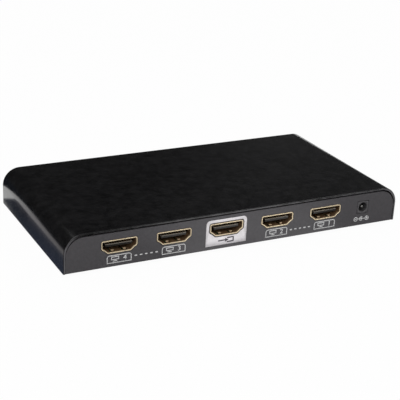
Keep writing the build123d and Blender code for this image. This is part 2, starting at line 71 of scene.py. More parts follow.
class Facing(Enum):
    """The side of the case that a printed mark lies on."""

    FRONT = -1
    REAR = 1


class Glyph(Enum):
    """The digits that number the outlets and the lights."""

    ONE = "1"
    TWO = "2"
    THREE = "3"
    FOUR = "4"


# Node trees


class NodeSheet:
    """Adds nodes to one tree and links them."""

    def __init__(self, tree: bpy.types.NodeTree) -> None:
        """Keeps the tree that the nodes go into."""
        self.tree = tree

    def add(self, kind: str, values: dict | None = None, **settings: object) -> bpy.types.Node:
        """Adds one node.

        Args:
            kind: The node's type.
            values: Its inputs by name or number. A socket is linked, and anything else is set.
            **settings: The node's own settings.

        Returns:
            The new node.
        """
        node = self.tree.nodes.new(kind)
        for name, value in settings.items():
            setattr(node, name, value)
        for name, value in (values or {}).items():
            if isinstance(value, bpy.types.NodeSocket):
                self.tree.links.new(value, node.inputs[name])
            else:
                node.inputs[name].default_value = value
        return node

    def math(self, operation: str, first: object, second: object = 0.0) -> bpy.types.NodeSocket:
        """Works out one sum of two values and returns its output."""
        node = self.add("ShaderNodeMath", {0: first, 1: second}, operation=operation)
        return node.outputs[0]

    def spread(self, value: object, start: Flat, end: Flat) -> bpy.types.NodeSocket:
        """Maps a value from one range to another and returns the output."""
        node = self.add(
            "ShaderNodeMapRange",
            {"Value": value, "From Min": start[0], "From Max": start[1], "To Min": end[0], "To Max": end[1]},
        )
        return node.outputs[0]

    def blend(self, share: object, first: object, second: object) -> bpy.types.NodeSocket:
        """Mixes two colours by a share and returns the output."""
        node = self.add("ShaderNodeMix", {0: share, 6: first, 7: second}, data_type="RGBA")
        return node.outputs[2]


class Recipe(Enum):
    """The shader node groups that several finishes share."""

    GRAIN = "surface_grain"
    WEAR = "edge_wear"
    MOTTLE = "colour_mottle"
    DEPTH = "depth_shade"


class GroupSheet(NodeSheet):
    """A shader node group with named inputs and outputs."""

    def __init__(self, kind: Recipe, inputs: dict[str, object], outputs: dict[str, str]) -> None:
        """Starts a group.

        Args:
            kind: Which of the shared groups it is.
            inputs: The first value of each input by its name, a number or a colour.
            outputs: The type of each output's socket by its name.
        """
        super().__init__(bpy.data.node_groups.new(kind.value, "ShaderNodeTree"))
        for name, value in inputs.items():
            socket_type = NUMBER if isinstance(value, float) else TINT
            made = self.tree.interface.new_socket(name, in_out="INPUT", socket_type=socket_type)
            made.default_value = value
        for name, socket_type in outputs.items():
            self.tree.interface.new_socket(name, in_out="OUTPUT", socket_type=socket_type)
        self.given = self.add("NodeGroupInput").outputs
        self.place = self.add("ShaderNodeTexCoord").outputs["Object"]

    def noise(self, scale: object, detail: float, roughness: float = 0.5) -> bpy.types.NodeSocket:
        """Adds noise that stays fixed to the piece and returns its output."""
        node = self.add(
            "ShaderNodeTexNoise",
            {"Vector": self.place, "Scale": scale, "Detail": detail, "Roughness": roughness},
        )
        return node.outputs[0]

    def attribute(self, name: str) -> bpy.types.NodeSocket:
        """Reads one of the piece's own attributes and returns the output."""
        return self.add("ShaderNodeAttribute", attribute_name=name).outputs["Fac"]


def grain_group() -> bpy.types.ShaderNodeTree:
    """Builds the fine relief of a coating or a moulding.

    Returns:
        A group that turns a grain size into a height and a slow mask.
    """
    slow_share = 0.04
    sheet = GroupSheet(Recipe.GRAIN, {"Grain size": 0.0004}, {"Height": NUMBER, "Drift": NUMBER})
    scale = sheet.math("DIVIDE", 1.0, sheet.given["Grain size"])
    height = sheet.noise(scale, 3.0, 0.6)
    drift = sheet.noise(sheet.math("MULTIPLY", scale, slow_share), 2.0)
    sheet.add("NodeGroupOutput", {"Height": height, "Drift": drift})
    return sheet.tree


def wear_and_light_group() -> bpy.types.ShaderNodeTree:
    """Builds the rubbed look of edges, which on the cover's wall ends is also a painted highlight.

    Returns:
        A group that breaks up the piece's edge attribute with noise into a mask.
    """
    noise_span, patch_levels = (0.35, 0.65), (0.2, 1.0)
    sheet = GroupSheet(Recipe.WEAR, {"Patch size": 0.002, "Amount": 0.5}, {"Mask": NUMBER})
    scale = sheet.math("DIVIDE", 1.0, sheet.given["Patch size"])
    broken = sheet.spread(sheet.noise(scale, 4.0, 0.7), noise_span, patch_levels)
    rubbed = sheet.math("MULTIPLY", sheet.attribute("edge"), broken)
    sheet.add("NodeGroupOutput", {"Mask": sheet.math("MULTIPLY", rubbed, sheet.given["Amount"])})
    return sheet.tree


def mottle_group() -> bpy.types.ShaderNodeTree:
    """Builds the slight drift between two shades of one colour.

    Returns:
        A group that mixes a light and a dark shade by noise at two scales.
    """
    fine_factor, noise_span = 9.0, (0.38, 0.62)
    sheet = GroupSheet(
        Recipe.MOTTLE,
        {"Dark": (0.2, 0.2, 0.2, 1.0), "Light": (0.3, 0.3, 0.3, 1.0), "Patch size": 0.004},
        {"Colour": TINT},
    )
    scale = sheet.math("DIVIDE", 1.0, sheet.given["Patch size"])
    slow = sheet.noise(scale, 2.0)
    fine = sheet.noise(sheet.math("MULTIPLY", scale, fine_factor), 3.0)
    both = sheet.math("MULTIPLY", sheet.math("ADD", slow, fine), 0.5)
    share = sheet.spread(both, noise_span, (0.0, 1.0))
    sheet.add("NodeGroupOutput", {"Colour": sheet.blend(share, sheet.given["Dark"], sheet.given["Light"])})
    return sheet.tree


def depth_group() -> bpy.types.ShaderNodeTree:
    """Builds the painted shade of faces far inside an opening.

    Returns:
        A group that softens the piece's depth attribute with noise into a mask.
    """
    patch_scale, noise_span, patch_levels = 1500.0, (0.3, 0.7), (0.9, 1.0)
    sheet = GroupSheet(Recipe.DEPTH, {"Amount": 0.9}, {"Mask": NUMBER})
    uneven = sheet.spread(sheet.noise(patch_scale, 2.0), noise_span, patch_levels)
    shaded = sheet.math("MULTIPLY", sheet.attribute("depth"), uneven)
    sheet.add("NodeGroupOutput", {"Mask": sheet.math("MULTIPLY", shaded, sheet.given["Amount"])})
    return sheet.tree


def recipe(kind: Recipe) -> bpy.types.ShaderNodeTree:
    """Gives a shared shader group, built at its first use."""
    builders = {
        Recipe.GRAIN: grain_group, Recipe.WEAR: wear_and_light_group, Recipe.MOTTLE: mottle_group,
        Recipe.DEPTH: depth_group,
    }
    return bpy.data.node_groups.get(kind.value) or builders[kind]()


# Finishes


def open_material(name: str) -> tuple[bpy.types.Material, NodeSheet]:
    """Starts a material and gives it with the sheet for its nodes.

    Args:
        name: The material's name.

    Returns:
        The material and its sheet.
    """
    material = bpy.data.materials.new(name)
    material.use_nodes = True
    return material, NodeSheet(material.node_tree)


def shade(colour: Colour, factor: float = 1.0) -> tuple[float, float, float, float]:
    """Gives a colour with its alpha, made lighter or darker by a factor."""
    red, green, blue = (min(1.0, part * factor) for part in colour)
    return red, green, blue, 1.0


@dataclass(frozen=True)
class Finish:
    """A finish whose colour drifts and whose surface has a fine relief and rubbed edges, with a painted
    highlight on some edges and painted shade inside openings.
    """

    name: str
    slot: str
    colour: Colour
    roughness: float
    metallic: float = 0.0
    drift: float = 0.12
    patch: float = 0.006
    grain: float = 0.0004
    relief: float = 0.00002
    roughness_swing: float = 0.08
    # Rubbed edges, which on the cover also stand for a painted highlight: how much, and their colour.
    wear_and_light: float = 0.0
    wear_and_light_colour: Colour = (0.3, 0.3, 0.3)
    wear_patch: float = 0.002
    specular: float = 0.5
    # Painted shade inside openings: how much, and its colour.
    painted_shade: float = 0.0
    painted_shade_colour: Colour = (0.01, 0.01, 0.01)

    def colour_output(self, sheet: NodeSheet) -> bpy.types.NodeSocket:
        """Builds the colour with its drift, its rubbed and painted-lit edges and its painted shade inside
        openings, and returns the output.

        Args:
            sheet: The sheet of the material's nodes.

        Returns:
            The colour's output.
        """
        mottle = self.group(sheet, Recipe.MOTTLE, {
            "Dark": shade(self.colour, 1 - self.drift), "Light": shade(self.colour, 1 + self.drift),
            "Patch size": self.patch,
        })
        colour = mottle.outputs["Colour"]
        # Rubbed edges, and on the cover a painted highlight on its lit wall ends.
        if self.wear_and_light:
            worn_or_lit = self.group(sheet, Recipe.WEAR, {"Patch size": self.wear_patch, "Amount": self.wear_and_light})
            colour = sheet.blend(worn_or_lit.outputs["Mask"], colour, shade(self.wear_and_light_colour))
        # Painted shade: faces inside an opening are darkened.
        if self.painted_shade:
            depth = self.group(sheet, Recipe.DEPTH, {"Amount": self.painted_shade})
            colour = sheet.blend(depth.outputs["Mask"], colour, shade(self.painted_shade_colour))
        return colour

    def group(self, sheet: NodeSheet, kind: Recipe, values: dict) -> bpy.types.Node:
        """Places a shared group with this finish's own values and returns its node.

        Args:
            sheet: The sheet of the material's nodes.
            kind: The shared group.
            values: The group's inputs by name.

        Returns:
            The group's node.
        """
        node = sheet.add("ShaderNodeGroup", node_tree=recipe(kind))
        for name, value in values.items():
            node.inputs[name].default_value = value
        return node

    def build(self) -> bpy.types.Material:
        """Builds the material.

        Returns:
            The material, or the one of this name that is there already.
        """
        found = bpy.data.materials.get(self.name)
        if found:
            return found
        drift_span, least_roughness = (0.3, 0.7), 0.02
        material, sheet = open_material(self.name)
        shader = material.node_tree.nodes["Principled BSDF"]
        grain = self.group(sheet, Recipe.GRAIN, {"Grain size": self.grain})
        swing = self.roughness_swing
        levels = (max(least_roughness, self.roughness - swing), self.roughness + swing)
        rough = sheet.spread(grain.outputs["Drift"], drift_span, levels)
        bump = sheet.add(
            "ShaderNodeBump", {"Strength": 1.0, "Distance": self.relief, "Height": grain.outputs["Height"]}
        )
        sheet.tree.links.new(self.colour_output(sheet), shader.inputs["Base Color"])
        sheet.tree.links.new(rough, shader.inputs["Roughness"])
        sheet.tree.links.new(bump.outputs["Normal"], shader.inputs["Normal"])
        shader.inputs["Metallic"].default_value = self.metallic
        shader.inputs["Specular IOR Level"].default_value = self.specular
        self.extra(sheet, shader)
        return material

    def extra(self, sheet: NodeSheet, shader: bpy.types.Node) -> None:
        """Adds what one kind of finish has besides."""


@dataclass(frozen=True)
class LensFinish(Finish):
    """A milky, slightly clear moulding that light passes through."""

    transmission: float = 0.45
    refraction: float = 1.49

    def extra(self, sheet: NodeSheet, shader: bpy.types.Node) -> None:
        """Lets some light through."""
        shader.inputs["Transmission Weight"].default_value = self.transmission
        shader.inputs["IOR"].default_value = self.refraction


@dataclass(frozen=True)
class BoardFinish(Finish):
    """The lacquered face of a circuit board, with its traces a little lighter."""

    trace_pitch: float = 0.0009
    trace_line: float = 0.012
    step_length: float = 1.3
    row_height: float = 0.2
    step_tint: float = 1.25
    trace_colour: Colour = (0.015, 0.11, 0.045)

    def colour_output(self, sheet: NodeSheet) -> bpy.types.NodeSocket:
        """Draws stepped traces under the lacquer and returns the colour.

        Args:
            sheet: The sheet of the material's nodes.

        Returns:
            The colour's output.
        """
        place = sheet.add("ShaderNodeTexCoord").outputs["Object"]
        bricks = sheet.add(
            "ShaderNodeTexBrick",
            {"Vector": place, "Scale": self.row_height / self.trace_pitch, "Mortar Size": self.trace_line,
             "Brick Width": self.step_length, "Row Height": self.row_height, "Color1": shade(self.colour),
             "Color2": shade(self.colour, self.step_tint), "Mortar": shade(self.trace_colour)},
        )
        return bricks.outputs["Color"]


@dataclass(frozen=True)
class LitAndShadedTongueFinish(Finish):
    """A moulding whose upper parts carry a painted highlight and whose parts under a level carry painted
    shade.
    """

    level: float = 0.0113
    fade: float = 0.00012
    lower_shade_colour: Colour = (0.018, 0.015, 0.012)

    def colour_output(self, sheet: NodeSheet) -> bpy.types.NodeSocket:
        """Fades from the painted shade to the painted highlight over a level and returns the colour.

        Args:
            sheet: The sheet of the material's nodes.

        Returns:
            The colour's output.
        """
        light = super().colour_output(sheet)
        place = sheet.add("ShaderNodeTexCoord").outputs["Object"]
        height = sheet.add("ShaderNodeSeparateXYZ", {0: place}).outputs["Z"]
        share = sheet.spread(height, (self.level - self.fade, self.level + self.fade), (0.0, 1.0))
        return sheet.blend(share, shade(self.lower_shade_colour), light)


class Finishes(Enum):
    """Every finish of the splitter, named by what it covers."""

    # Its lighter edge colour is also a painted highlight on the lit ends of the cover's walls.
    COVER = Finish(
        "satin_black_coat", "cover_black", (0.0016, 0.0016, 0.0018), 0.2, grain=0.0005, relief=0.0000012,
        roughness_swing=0.02, patch=0.03, drift=0.15, wear_and_light=0.8, wear_and_light_colour=(0.11, 0.107, 0.113),
        wear_patch=0.004,
    )
    PANEL = Finish(
        "fine_grey_coat", "panel_grey", (0.073, 0.069, 0.074), 0.50, grain=0.00022, relief=0.000006,
        roughness_swing=0.06, patch=0.0012, drift=0.10,
    )
    INK_WHITE = Finish(
        "white_ink", "panel_grey", (0.62, 0.62, 0.62), 0.55, grain=0.0001, relief=0.000004, patch=0.0008,
        drift=0.08,
    )
    INK_PALE = Finish(
        "pale_ink", "panel_grey", (0.86, 0.83, 0.85), 0.5, grain=0.0002, relief=0.000004, patch=0.003,
        drift=0.04,
    )
    INK_DARK = Finish(
        "dark_ink", "panel_grey", (0.07, 0.06, 0.075), 0.5, grain=0.0001, relief=0.000004, patch=0.0008,
    )
    RUBBER = Finish(
        "foot_rubber", "foot_rubber", (0.012, 0.012, 0.012), 0.78, grain=0.0003, relief=0.00003, wear_and_light=0.4,
        wear_and_light_colour=(0.06, 0.06, 0.058),
    )
    SCREW = Finish(
        "black_zinc", "screw_black", (0.02, 0.02, 0.022), 0.32, metallic=0.9, grain=0.00012, relief=0.000008,
        wear_and_light=0.6, wear_and_light_colour=(0.3, 0.29, 0.28), wear_patch=0.0006,
    )
    STEEL = Finish(
        "bright_zinc", "plated_steel", (0.55, 0.56, 0.56), 0.3, metallic=1.0, grain=0.0002, relief=0.000008,
    )
    # Painted shade: inside the mouth the gold is darkened to a dark brown.
    SHELL = Finish(
        "gold_plating", "shell_gold", (1.0, 0.82, 0.56), 0.4, metallic=0.4, grain=0.00012,
        relief=0.000001, patch=0.003, drift=0.03, roughness_swing=0.04, wear_and_light=0.15,
        wear_and_light_colour=(1.0, 0.88, 0.66), wear_patch=0.004, painted_shade=0.95, painted_shade_colour=(0.105, 0.038, 0.008),
        specular=0.12,
    )
    CONTACT = Finish(
        "contact_gold", "contact_gold", (0.85, 0.60, 0.28), 0.3, metallic=1.0, grain=0.0001, relief=0.000003,
        patch=0.001, drift=0.07,
    )
    # The pale colour is a painted highlight on the tongue's upper face; under a level it turns to painted
    # shade.
    INSERT = LitAndShadedTongueFinish(
        "insert_moulding", "insert_black", (0.24, 0.215, 0.18), 0.4, grain=0.00012, relief=0.000008,
        patch=0.0015,
    )
    # Painted shade: the bore is darkened to near black inside.
    JACK = Finish(
        "jack_moulding", "jack_plastic", (0.085, 0.081, 0.086), 0.5, grain=0.00015, relief=0.000008,
        patch=0.0015, wear_and_light=0.25, wear_and_light_colour=(0.1, 0.1, 0.1), wear_patch=0.0008, painted_shade=0.9,
        painted_shade_colour=(0.004, 0.004, 0.004),
    )
    PIN = Finish(
        "nickel_pin", "plated_pin", (0.46, 0.45, 0.43), 0.36, metallic=1.0, grain=0.0001, relief=0.000003,
        patch=0.001, drift=0.05,
    )
    HOLDER = Finish(
        "holder_moulding", "holder_black", (0.02, 0.02, 0.02), 0.5, grain=0.0002, relief=0.00001,
    )
    LENS = LensFinish(
        "milky_lens", "light_lens", (0.72, 0.76, 0.70), 0.28, grain=0.0003, relief=0.000004, patch=0.001,
        drift=0.04,
    )
    LEAD = Finish(
        "tinned_lead", "tinned_leads", (0.62, 0.62, 0.60), 0.34, metallic=1.0, grain=0.00008,
        relief=0.000005, patch=0.0006,
    )
    CHIP = Finish(
        "chip_moulding", "chip_black", (0.016, 0.016, 0.017), 0.6, grain=0.0001, relief=0.000012,
        patch=0.001,
    )
    THERMAL = Finish(
        "thermal_gel", "thermal_grey", (0.20, 0.21, 0.23), 0.7, grain=0.0002, relief=0.00003, patch=0.001,
    )
    SINK = Finish(
        "sink_aluminium", "sink_aluminium", (0.50, 0.51, 0.52), 0.38, metallic=1.0, grain=0.0003,
        relief=0.00001, patch=0.002,
    )
    FERRITE = Finish(
        "ferrite", "ferrite_grey", (0.045, 0.045, 0.048), 0.55, grain=0.00015, relief=0.00003, patch=0.0008,
    )
    CRYSTAL = Finish(
        "crystal_lid", "crystal_lid", (0.66, 0.65, 0.62), 0.26, metallic=1.0, grain=0.0002, relief=0.000004,
    )
    FUSE = Finish(
        "fuse_lacquer", "fuse_green", (0.02, 0.14, 0.07), 0.45, grain=0.0002, relief=0.00001, patch=0.001,
    )
    CAN = Finish(
        "can_aluminium", "can_aluminium", (0.60, 0.61, 0.62), 0.3, metallic=1.0, grain=0.0002,
        relief=0.000006,
    )
    CERAMIC = Finish(
        "capacitor_ceramic", "capacitor_tan", (0.30, 0.19, 0.10), 0.5, grain=0.00008, relief=0.000006,
        patch=0.0006,
    )
    RESISTOR = Finish(
        "resistor_film", "resistor_black", (0.018, 0.018, 0.02), 0.4, grain=0.00008, relief=0.000006,
        patch=0.0006,
    )
    BOARD = BoardFinish(
        "board_lacquer", "board_green", (0.008, 0.075, 0.03), 0.32, grain=0.0004, relief=0.000008,
    )


NODE_FINISHES: dict[str, Finishes] = {
    "base_tray": Finishes.PANEL, "cover_screws": Finishes.SCREW, "board_standoffs": Finishes.STEEL,
    "board_screws": Finishes.STEEL, "main_board": Finishes.BOARD, "power_jack_leaf": Finishes.PIN,
    "power_jack_pin": Finishes.PIN, "power_jack_housing": Finishes.JACK, "light_leads": Finishes.LEAD,
    "splitter_chip": Finishes.CHIP, "splitter_chip_pads": Finishes.LEAD, "thermal_pad": Finishes.THERMAL,
    "heat_sink": Finishes.SINK, "controller_chip": Finishes.CHIP, "controller_leads": Finishes.LEAD,
    "memory_chip": Finishes.CHIP, "memory_leads": Finishes.LEAD, "regulator_chip": Finishes.CHIP,
    "regulator_leads": Finishes.LEAD, "crystal": Finishes.CRYSTAL, "resettable_fuse": Finishes.FUSE,
    "input_diode": Finishes.CHIP, "power_inductor": Finishes.FERRITE, "capacitor_cans": Finishes.CAN,
    "capacitor_bases": Finishes.CHIP, "surge_arrays": Finishes.CHIP, "chip_capacitors": Finishes.CERAMIC,
    "chip_resistors": Finishes.RESISTOR,
}
SUFFIX_FINISHES: dict[str, Finishes] = {
    "_shell": Finishes.SHELL, "_insert": Finishes.INSERT, "_contacts": Finishes.CONTACT,
    "_holder": Finishes.HOLDER,
}


# Shapes


def put_in_scene(name: str, data: bpy.types.ID) -> bpy.types.Object:
    """Makes an object of a mesh, a curve, a lamp or a camera and puts it in the scene.

    Args:
        name: The object's name.
        data: What it shows.

    Returns:
        The object.
    """
    made = bpy.data.objects.new(name, data)
    bpy.context.scene.collection.objects.link(made)
    return made


def face_outwards(cage: bmesh.types.BMesh, mesh: bpy.types.Mesh) -> None:
    """Merges what lies in one place, turns the faces outwards and writes the mesh.

    Args:
        cage: The points and faces, which are freed.
        mesh: Where they are written.
    """
    bmesh.ops.remove_doubles(cage, verts=cage.verts, dist=MERGE_GAP)
    bmesh.ops.recalc_face_normals(cage, faces=cage.faces)
    cage.to_mesh(mesh)
    cage.free()


class Shape:
    """Collects points and faces in millimetres, and turns them into one closed mesh object."""

    def __init__(self) -> None:
        """Starts with nothing in it."""
        self.points: list[Vector] = []
        self.faces: list[tuple[int, ...]] = []

    def ring(self, points: Ring) -> list[int]:
        """Adds a ring of points and returns their numbers.

        Args:
            points: The points in order, in millimetres.

        Returns:
            The points' numbers.
        """
        start = len(self.points)
        self.points += [Vector(point) for point in points]
        return list(range(start, len(self.points)))

    def loft(self, rings: list[Ring], around: bool = False) -> None:
        """Joins rings of equal count with four-sided faces.

        Args:
            rings: The rings in order.
            around: Whether the last ring joins the first. Otherwise both ends get a cap.
        """
        numbers = [self.ring(ring) for ring in rings]
        pairs = list(zip(numbers, numbers[1:]))
        if around:
            pairs.append((numbers[-1], numbers[0]))
        for first, second in pairs:
            count = len(first)
            for here in range(count):
                there = (here + 1) % count
                self.faces.append((first[here], first[there], second[there], second[here]))
        if not around:
            self.faces.append(tuple(numbers[0]))
            self.faces.append(tuple(reversed(numbers[-1])))

    def lathe(self, profile: Loop, place: Triple, axis: Triple, steps: int) -> None:
        """Turns an open profile round an axis, and closes it where it meets the axis.

        Args:
            profile: Pairs of radius and way along the axis, its ends at or near the axis.
            place: A point on the axis.
            axis: The axis' direction.
            steps: How many sides the turned shape has.
        """
        turn = Vector(axis).to_track_quat("Z", "Y").to_matrix()
        rings = []
        for radius, along in profile:
            angles = [2 * math.pi * step / steps for step in range(steps)]
            rings.append([
                Vector(place) + turn @ Vector((radius * math.cos(a), radius * math.sin(a), along))
                for a in angles
            ])
        self.loft(rings)

    def block(self, low: Triple, high: Triple) -> None:
        """Adds a rectangular block between two corners.

        Args:
            low: The lowest corner.
            high: The highest corner.
        """
        x0, y0, z0 = low
        x1, y1, z1 = high
        self.loft([
            [Vector((x0, y0, z0)), Vector((x1, y0, z0)), Vector((x1, y1, z0)), Vector((x0, y1, z0))],
            [Vector((x0, y0, z1)), Vector((x1, y0, z1)), Vector((x1, y1, z1)), Vector((x0, y1, z1))],
        ])

    def to_object(self, name: str) -> bpy.types.Object:
        """Makes the mesh object.

        Args:
            name: The piece's name.

        Returns:
            The object, in metres at the origin, with its faces outwards.
        """
        mesh = bpy.data.meshes.new(name)
        cage = bmesh.new()
        made = [cage.verts.new(point * MM) for point in self.points]
        for face in self.faces:
            cage.faces.new([made[number] for number in face])
        face_outwards(cage, mesh)
        soften(mesh)
        return put_in_scene(name, mesh)


def soften(mesh: bpy.types.Mesh, sharp: float = SHARP_ANGLE) -> None:
    """Shades a mesh smooth except across edges above an angle in degrees."""
    mesh.shade_smooth()
    mesh.set_sharp_from_angle(angle=math.radians(sharp))


def settle(piece: bpy.types.Object, sharp: float = SHARP_ANGLE) -> bpy.types.Object:
    """Turns a curve, a text or a piece with modifiers into a plain mesh.

    Args:
        piece: The object, of any type that has a shape.
        sharp: The angle in degrees above which an edge stays sharp.

    Returns:
        The object with its evaluated mesh and no modifier.
    """
    bpy.context.view_layer.update()
    graph = bpy.context.evaluated_depsgraph_get()
    mesh = bpy.data.meshes.new_from_object(
        piece.evaluated_get(graph), preserve_all_data_layers=True, depsgraph=graph
    )
    if piece.type == "MESH":
        piece.modifiers.clear()
        piece.data = mesh
    else:
        name = piece.name
        bpy.data.objects.remove(piece)
        piece = put_in_scene(name, mesh)
    soften(mesh, sharp)
    return piece


def ease_edges(piece: bpy.types.Object, width: float, segments: int) -> bpy.types.Object:
    """Rounds a piece's sharp edges.

    Args:
        piece: The mesh object.
        width: The rounding in millimetres.
        segments: How many faces each rounding has.

    Returns:
        The object with its rounded mesh.
    """
    bevel = piece.modifiers.new("ease", "BEVEL")
    bevel.width, bevel.segments = width * MM, segments
    bevel.limit_method, bevel.angle_limit = "ANGLE", math.radians(SHARP_ANGLE)
    bevel.use_clamp_overlap = True
    return settle(piece)


def mark_edges(piece: bpy.types.Object, reach: float) -> None:
    """Writes the edge attribute that the rubbed look reads.

    Args:
        piece: The mesh object.
        reach: Only a point with a line to it shorter than this is marked, in millimetres.
    """
    full_bend = 0.5
    cage = bmesh.new()
    cage.from_mesh(piece.data)
    layer = cage.verts.layers.float.new("edge")
    for vertex in cage.verts:
        bent = [edge.calc_face_angle(0.0) for edge in vertex.link_edges]
        turned = max(bent, default=0.0)
        short = min((edge.calc_length() for edge in vertex.link_edges), default=0.0)
        vertex[layer] = min(1.0, turned / full_bend) if short < reach * MM else 0.0
    cage.to_mesh(piece.data)
    cage.free()


def mark_points(piece: bpy.types.Object, name: str, rule: Callable[[Vector], float]) -> None:
    """Writes an attribute that a finish reads.

    Args:
        piece: The mesh object.
        name: The attribute's name: edge for rubbed places and the cover's painted highlight, and depth for
            painted shade inside openings.
        rule: Gives its value at a point in millimetres. One is the full effect.
    """
    layer = piece.data.attributes.new(name, "FLOAT", "POINT")
    layer.data.foreach_set("value", [rule(vertex.co / MM) for vertex in piece.data.vertices])


def place_piece(
    piece: bpy.types.Object, finish: Finishes, replaced: tuple[str, ...] = (), put_material: bool = True
) -> None:
    """Dresses a finished piece and lets it ride.

    Args:
        piece: The mesh object at the origin.
        finish: What it is covered with.
        replaced: The CAD nodes that it stands for.
        put_material: Whether its one material is set here.
    """
    if put_material:
        piece.data.materials.clear()
        piece.data.materials.append(finish.value.build())
    if replaced:
        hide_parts(*replaced)
    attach(piece, ROOT)
    log.info("made %s: %d faces", piece.name, len(piece.data.polygons))


def box_mm(node: str) -> tuple[Vector, Vector]:
    """Gives a CAD node's lowest and highest corner in millimetres."""
    low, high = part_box(node)
    return low / MM, high / MM


def arc(centre: Flat, radius: float, start: float, end: float, steps: int) -> Loop:
    """Gives the points of an arc, its angles in degrees.

    Args:
        centre: Its centre.
        radius: Its radius.
        start: The first angle.
        end: The last angle.
        steps: How many steps it is drawn in.

    Returns:
        The points, one more than the steps.
    """
    points = []
    for step in range(steps + 1):
        angle = math.radians(start + (end - start) * step / steps)
        points.append((centre[0] + radius * math.cos(angle), centre[1] + radius * math.sin(angle)))
    return points


# The case


@dataclass
class Cover:
    """The extruded cover, with its thin edges broken and its screw rails inside."""

    wall: float = 0.8
    corner: float = 7.4
    inner_corner: float = 7.2
    fold: float = 0.4
    edge_break: float = 0.22
    face_wear: float = 0.12
    # The wall ends are painted lighter: partly rubbed metal, partly a painted highlight of their lit faces,
    # fuller at the right end.
    end_wear_and_light: float = 2.6
    left_light_fade: float = 5.0
    right_light_fade: float = 1.2
    end_margin: float = 0.01
    arc_steps: int = 28
    fold_steps: int = 6
    break_steps: int = 4
    rail_width: float = 6.0
    rail_height: float = 5.0
    rail_inset: float = 1.4
    floor_sheet: float = 0.8

    def path(self, low: Vector, high: Vector) -> list[tuple[Flat, Flat]]:
        """Gives the arch as pairs of a point of its outer line and one of its inner line.

        Args:
            low: The lowest corner of the cover's box.
            high: The highest corner.

        Returns:
            The pairs in x and z, from the left foot of the arch over the top to the right one.
        """
        wall = self.wall
        turns = [math.radians(90 * step / self.fold_steps) for step in range(self.fold_steps + 1)]
        levels = [low.z + self.fold * (1 - math.cos(turn)) for turn in turns]
        levels.append((low.z + self.fold + high.z - self.corner) / 2)
        line: list[tuple[Flat, Flat]] = [((low.x, z), (low.x + wall, z)) for z in levels]
        outer = arc((low.x + self.corner, high.z - self.corner), self.corner, 180, 90, self.arc_steps)
        inner_arm = wall + self.inner_corner
        inner = arc((low.x + inner_arm, high.z - inner_arm), self.inner_corner, 180, 90, self.arc_steps)
        line += list(zip(outer, inner))
        middle = (low.x + high.x) / 2
        line.append(((middle, high.z), (middle, high.z - wall)))
        mirrored = [tuple((2 * middle - x, z) for x, z in pair) for pair in line[:-1]]
        return line + list(reversed(mirrored))

    def fold_inset(self, height: float) -> float:
        """Gives how far the rounded lower corners stand back at a height above the cover's base."""
        rise = self.fold - min(self.fold, height)
        return self.fold - math.sqrt(self.fold ** 2 - rise ** 2)

    def wall_section(self, front: float, back: float) -> Loop:
        """Gives the wall's section as pairs of y and depth under the outer face, its corners rounded.

        Args:
            front: The y of the front end.
            back: The y of the back end.

        Returns:
            The points, all the way round.
        """
        r, wall = self.edge_break, self.wall
        inner = r / 2
        corners = [
            ((front + r, r), r, 270.0, 180.0), ((front + inner, wall - inner), inner, 180.0, 90.0),
            ((back - inner, wall - inner), inner, 90.0, 0.0), ((back - r, r), r, 0.0, -90.0),
        ]
        section: Loop = []
        for centre, radius, start, end in corners:
            section += arc(centre, radius, start, end, self.break_steps)
        return section

    def rubbing_and_light(self, point: Vector, high: Vector) -> float:
        """Gives how far the finish is rubbed and lit at a point: the ends of the side walls are painted
        lighter, partly as rubbed metal and partly as a painted highlight where light falls on them, fuller
        towards the right end.

        Args:
            point: The point, in millimetres.
            high: The upper corner of the cover's box.

        Returns:
            The share for the finish, which may pass one.
        """
        if abs(point.y) < high.y - self.end_margin:
            return self.face_wear
        fade = self.left_light_fade if point.x < 0 else self.right_light_fade
        return max(self.face_wear, self.end_wear_and_light * min(1.0, (high.z - point.z) / fade))

    def build(self) -> None:
        """Makes the cover and its two rails as one piece."""
        low, high = box_mm("top_cover")
        shape = Shape()
        rings = []
        for outer, inner in self.path(low, high):
            inset = self.fold_inset(outer[1] - low.z)
            section = self.wall_section(low.y + inset, high.y - inset)
            step = (Vector(inner) - Vector(outer)) / self.wall
            rings.append([
                Vector((outer[0] + depth * step.x, y, outer[1] + depth * step.y)) for y, depth in section
            ])
        shape.loft(rings)
        front, back = low.y + self.rail_inset, high.y - self.rail_inset
        base = low.z + self.floor_sheet
        for side in (-1, 1):
            wall = side * (high.x - self.wall)
            left, right = sorted((wall, wall - side * self.rail_width))
            shape.block((left, front, base), (right, back, base + self.rail_height))
        piece = shape.to_object("cover_skin")
        # The edge attribute holds the rubbed edges and the painted highlight on the lit wall ends.
        mark_points(piece, "edge", lambda point: self.rubbing_and_light(point, high))
        place_piece(piece, Finishes.COVER, ("top_cover",))


